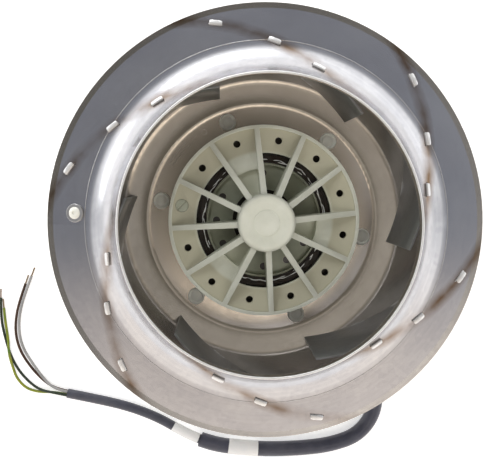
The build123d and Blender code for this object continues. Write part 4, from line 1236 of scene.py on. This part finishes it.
@dataclass
class Motor(SubAssembly):
    """Rotor housing with softened edges, its slotted plug, and the turns on the winding's overhang."""

    edge_round: float = 0.0005
    face_inside: float = 0.0570
    plug_circle: float = 0.0560
    plug_angle: float = 169.3
    plug_slot_angle: float = 45.0
    overhang_top: float = 0.0560
    wire_steps: int = 96
    wire_wave: float = 9.0

    def build(self) -> None:
        """Make the motor's pieces."""
        self._housing()
        self._plug()
        self._overhang_wires()

    def _housing(self) -> None:
        """The ribbed moulding, with all its edges slightly rounded."""
        piece = bpy.data.objects.new("housing", self.nodes["rotor_housing"].data.copy())
        bpy.context.scene.collection.objects.link(piece)
        Bench.edit(piece)
        bpy.ops.mesh.customdata_custom_splitnormals_clear()
        bpy.ops.mesh.select_all(action="SELECT")
        bpy.ops.mesh.remove_doubles(threshold=0.000002)
        bpy.ops.mesh.dissolve_limited(angle_limit=math.radians(0.6))
        bpy.ops.object.mode_set(mode="OBJECT")
        Bench.apply(
            piece, "BEVEL", width=self.edge_round, segments=2, limit_method="ANGLE",
            angle_limit=math.radians(38.0), use_clamp_overlap=True,
        )
        Bench.settle(piece, 40.0)
        self.keep(piece, Body.ROTOR, Slot.HOUSING, "rotor_housing")

    def _plug(self) -> None:
        """The slotted grub screw in the face, a little smaller than its hole."""
        section = [(0.0, 3.4), (3.85, 3.4), (4.2, 3.1), (4.2, 0.1), (0.0, 0.1)]
        plug = Bench.turned("slotted_plug", [(radius * MM, height * MM) for radius, height in section])
        Bench.clear()
        bpy.ops.mesh.primitive_cube_add(size=1.0, location=(0.0, 0.0, 0.0034))
        cutter = bpy.context.object
        cutter.scale = (0.0096, 0.0011, 0.0024)
        cutter.rotation_euler.z = math.radians(self.plug_slot_angle)
        Bench.apply(plug, "BOOLEAN", operation="DIFFERENCE", object=cutter)
        bpy.data.objects.remove(cutter)
        plug.location = polar(self.plug_circle, self.plug_angle, self.face_inside)
        Bench.settle(plug)
        self.keep(plug, Body.ROTOR, Slot.INSULATOR, "balance_screw")

    def _overhang_wires(self) -> None:
        """Loose turns of wire and a white thread that dips in and out of the overhang."""
        for number, (slot, radius, diameter, sway) in enumerate((
            (Slot.WINDING, 0.0402, 0.0011, 0.0005), (Slot.WINDING, 0.0426, 0.0012, 0.0007),
            (Slot.WINDING, 0.0438, 0.0010, 0.0005), (Slot.PAPER, 0.0413, 0.0008, 0.0010),
            (Slot.PAPER, 0.0405, 0.0006, 0.0006),
        )):
            points = []
            for step in range(self.wire_steps):
                angle = 360.0 * step / self.wire_steps
                way = polar(self.wire_wave, angle, 7.3 * number)
                reach = radius + sway * 2.0 * noise.noise(way)
                lift = 0.0009 * noise.noise(way + Vector((3.1, 5.7, 0.0)))
                points.append(polar(reach, angle, self.overhang_top - diameter * 0.25 + min(lift, 0.00035)))
            wire = Bench.wire(f"overhang_turn_{number + 1}", points, diameter, True, True)
            Bench.settle(wire, 60.0)
            self.keep(wire, Body.STATOR, slot)


@dataclass
class Studio:
    """Camera, floor, world and lamps."""

    camera_place: tuple[float, float, float] = (-0.02950, 0.02658, 0.60515)
    camera_turn: tuple[float, float, float] = (-0.05832, -0.02955, -0.00642)
    focal_length_px: float = 810.93
    picture_width_px: int = 488
    sensor_width: float = 36.0
    floor_size: float = 6.0
    floor_seen: float = 0.55
    floor_mirrored: float = 0.55
    back_stops: tuple[tuple[float, tuple[float, float, float]], ...] = (
        (0.0, (1.6, 1.6, 1.6)), (0.42, (1.5, 1.5, 1.5)), (0.54, (0.32, 0.33, 0.36)), (0.70, (0.20, 0.21, 0.25)),
        (0.77, (0.34, 0.33, 0.31)), (0.85, (0.40, 0.38, 0.35)), (0.93, (0.46, 0.43, 0.39)),
        (0.97, (0.14, 0.13, 0.11)), (1.0, (0.12, 0.11, 0.09)),
    )
    front_stops: tuple[tuple[float, tuple[float, float, float]], ...] = (
        (0.0, (1.30, 1.20, 1.10)), (0.46, (1.30, 1.20, 1.10)), (0.56, (1.0, 0.90, 0.82)), (0.70, (0.78, 0.69, 0.61)),
        (0.77, (0.26, 0.24, 0.21)), (0.84, (0.30, 0.27, 0.24)), (0.91, (0.62, 0.57, 0.50)), (0.95, (0.55, 0.50, 0.44)),
        (0.975, (0.20, 0.18, 0.15)), (1.0, (0.12, 0.11, 0.09)),
    )
    side_dimming: float = 0.6
    opening_way: tuple[float, float] = (0.10, -0.19)
    opening_colour: tuple[float, float, float] = (1.42, 1.35, 1.26)

    def build(self) -> None:
        """Set up all that isn't the fan."""
        self._camera()
        self._floor()
        self._world()
        self._lamp("low_back", (-0.35, 1.25, 0.38), (0.0, 0.0, 0.09), 0.9, 0.25, 3.0, (1.0, 1.0, 1.0))
        self._lamp("low_left", (-1.3, 0.5, 0.32), (0.0, 0.0, 0.09), 0.7, 0.25, 1.5, (0.97, 0.98, 1.0))
        self._lamp("fill_front", (0.34, -0.62, 1.25), (0.0, 0.0, 0.06), 0.8, 0.6, 4.0, (1.0, 0.98, 0.94), False)
        self._lamp("fill_back", (-0.55, 0.66, 1.20), (0.0, 0.0, 0.06), 0.8, 0.6, 5.5, (1.0, 1.0, 1.0), False)
        bpy.context.scene.view_settings.view_transform = "Standard"

    def _camera(self) -> None:
        """The photograph's viewing angle."""
        data = bpy.data.cameras.new("photo_view")
        data.sensor_width = self.sensor_width
        data.sensor_fit = "HORIZONTAL"
        data.lens = self.focal_length_px * self.sensor_width / self.picture_width_px
        camera = bpy.data.objects.new("photo_view", data)
        turn = Vector(self.camera_turn)
        rotation = Matrix.Rotation(turn.length, 4, turn.normalized())
        camera.matrix_world = Matrix.Translation(Vector(self.camera_place)) @ rotation
        bpy.context.scene.collection.objects.link(camera)
        bpy.context.scene.camera = camera

    def _floor(self) -> None:
        """A plain white floor that keeps the fan's shadow."""
        Bench.clear()
        bpy.ops.mesh.primitive_plane_add(size=self.floor_size, location=(0.0, 0.0, -0.0002))
        floor = bpy.context.object
        floor.name = "studio_floor"
        material = bpy.data.materials.new("white floor")
        material.use_nodes = True
        wiring = Wiring(material.node_tree)
        shader = material.node_tree.nodes["Principled BSDF"]
        shader.inputs["Base Color"].default_value = tint(0.93, 0.93, 0.93)
        shader.inputs["Roughness"].default_value = 0.8
        rays = wiring.add("ShaderNodeLightPath")
        bounced = wiring.math("MAXIMUM", rays.outputs["Is Glossy Ray"], rays.outputs["Is Transmission Ray"])
        bounced = wiring.math("MULTIPLY", bounced, self.floor_mirrored)
        seen = wiring.math("MULTIPLY_ADD", rays.outputs["Is Camera Ray"], self.floor_seen, bounced)
        shader.inputs["Emission Color"].default_value = (1.0, 1.0, 1.0, 1.0)
        wiring.join(seen, shader.inputs["Emission Strength"])
        floor.data.materials.append(material)

    def _world(self) -> None:
        """A soft surround: bright low down, quieter overhead, warmer in front."""
        world = bpy.data.worlds.new("soft surround")
        bpy.context.scene.world = world
        world.use_nodes = True
        wiring = Wiring(world.node_tree)
        background = world.node_tree.nodes["Background"]
        ways = wiring.add("ShaderNodeSeparateXYZ", {0: wiring.add("ShaderNodeTexCoord").outputs["Generated"]})
        back = self._ramp(wiring, ways.outputs[2], self.back_stops)
        front = self._ramp(wiring, ways.outputs[2], self.front_stops)
        share = wiring.span(ways.outputs[1], -0.62, -0.12, 0.0, 1.0)
        lit = wiring.blend(share, front, back)
        sides = wiring.span(wiring.math("ABSOLUTE", ways.outputs[1]), 0.04, 0.34, self.side_dimming, 1.0)
        low = wiring.span(ways.outputs[2], 0.42, 0.52, 1.0, 0.0)
        lit = wiring.blend(wiring.math("MULTIPLY", low, wiring.math("SUBTRACT", 1.0, sides)), lit, (0.0, 0.0, 0.0, 1.0))
        aside = wiring.math("MULTIPLY", wiring.math("SUBTRACT", ways.outputs[0], self.opening_way[0]), 0.6)
        along = wiring.math("SUBTRACT", ways.outputs[1], self.opening_way[1])
        off = wiring.math("SQRT", wiring.math("MULTIPLY_ADD", aside, aside, wiring.math("MULTIPLY", along, along)))
        upward = wiring.math("GREATER_THAN", ways.outputs[2], 0.5)
        opening = wiring.math("MULTIPLY", wiring.span(off, 0.05, 0.13, 1.0, 0.0), upward)
        lit = wiring.blend(opening, lit, tint(*self.opening_colour))
        rays = wiring.add("ShaderNodeLightPath")
        white = wiring.blend(rays.outputs["Is Camera Ray"], lit, (1.0, 1.0, 1.0, 1.0))
        wiring.join(white, background.inputs["Color"])
        background.inputs["Strength"].default_value = 1.0

    @staticmethod
    def _ramp(wiring: Wiring, height: object, stops: Sequence[tuple[float, tuple[float, float, float]]]) -> object:
        """Colour by height over the horizon, between stops of height and colour."""
        ramp = wiring.add("ShaderNodeValToRGB", {0: height})
        while len(ramp.color_ramp.elements) < len(stops):
            ramp.color_ramp.elements.new(0.5)
        for element, (place, colour) in zip(ramp.color_ramp.elements, stops):
            element.position = place
            element.color = (*colour, 1.0)
        return ramp.outputs[0]

    def _lamp(
        self, name: str, place: Sequence[float], aim: Sequence[float], width: float, depth: float, power: float,
        colour: Sequence[float], mirrored: bool = True,
    ) -> None:
        """A soft box.

        Args:
            name: Name of the lamp.
            place: Where it stands.
            aim: What it faces.
            width: Its width.
            depth: Its other side.
            power: Its power in watts.
            colour: Its colour.
            mirrored: Whether the sheet metal mirrors it.
        """
        data = bpy.data.lights.new(name, "AREA")
        data.shape = "RECTANGLE"
        data.size = width
        data.size_y = depth
        data.energy = power
        data.color = colour
        lamp = bpy.data.objects.new(name, data)
        lamp.location = place
        lamp.visible_glossy = mirrored
        lamp.rotation_euler = (Vector(aim) - Vector(place)).to_track_quat("-Z", "Y").to_euler()
        bpy.context.scene.collection.objects.link(lamp)


def main() -> None:
    """Load the solids, dress them, and build the pieces that stand for some of them."""
    logging.basicConfig(level=logging.INFO, format="%(message)s")
    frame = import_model()
    Studio().build()
    book = FinishBook()
    for part in frame["record"]["subparts"]:
        book.dress(frame["nodes"][part["node"]], part["material_slot"])
    book.dress(frame["nodes"]["shroud"], "shroud_sheet")
    for assembly in (Impeller, Motor, SupplyCable):
        assembly(frame["nodes"], book).build()


if __name__ == "__main__":
    main()
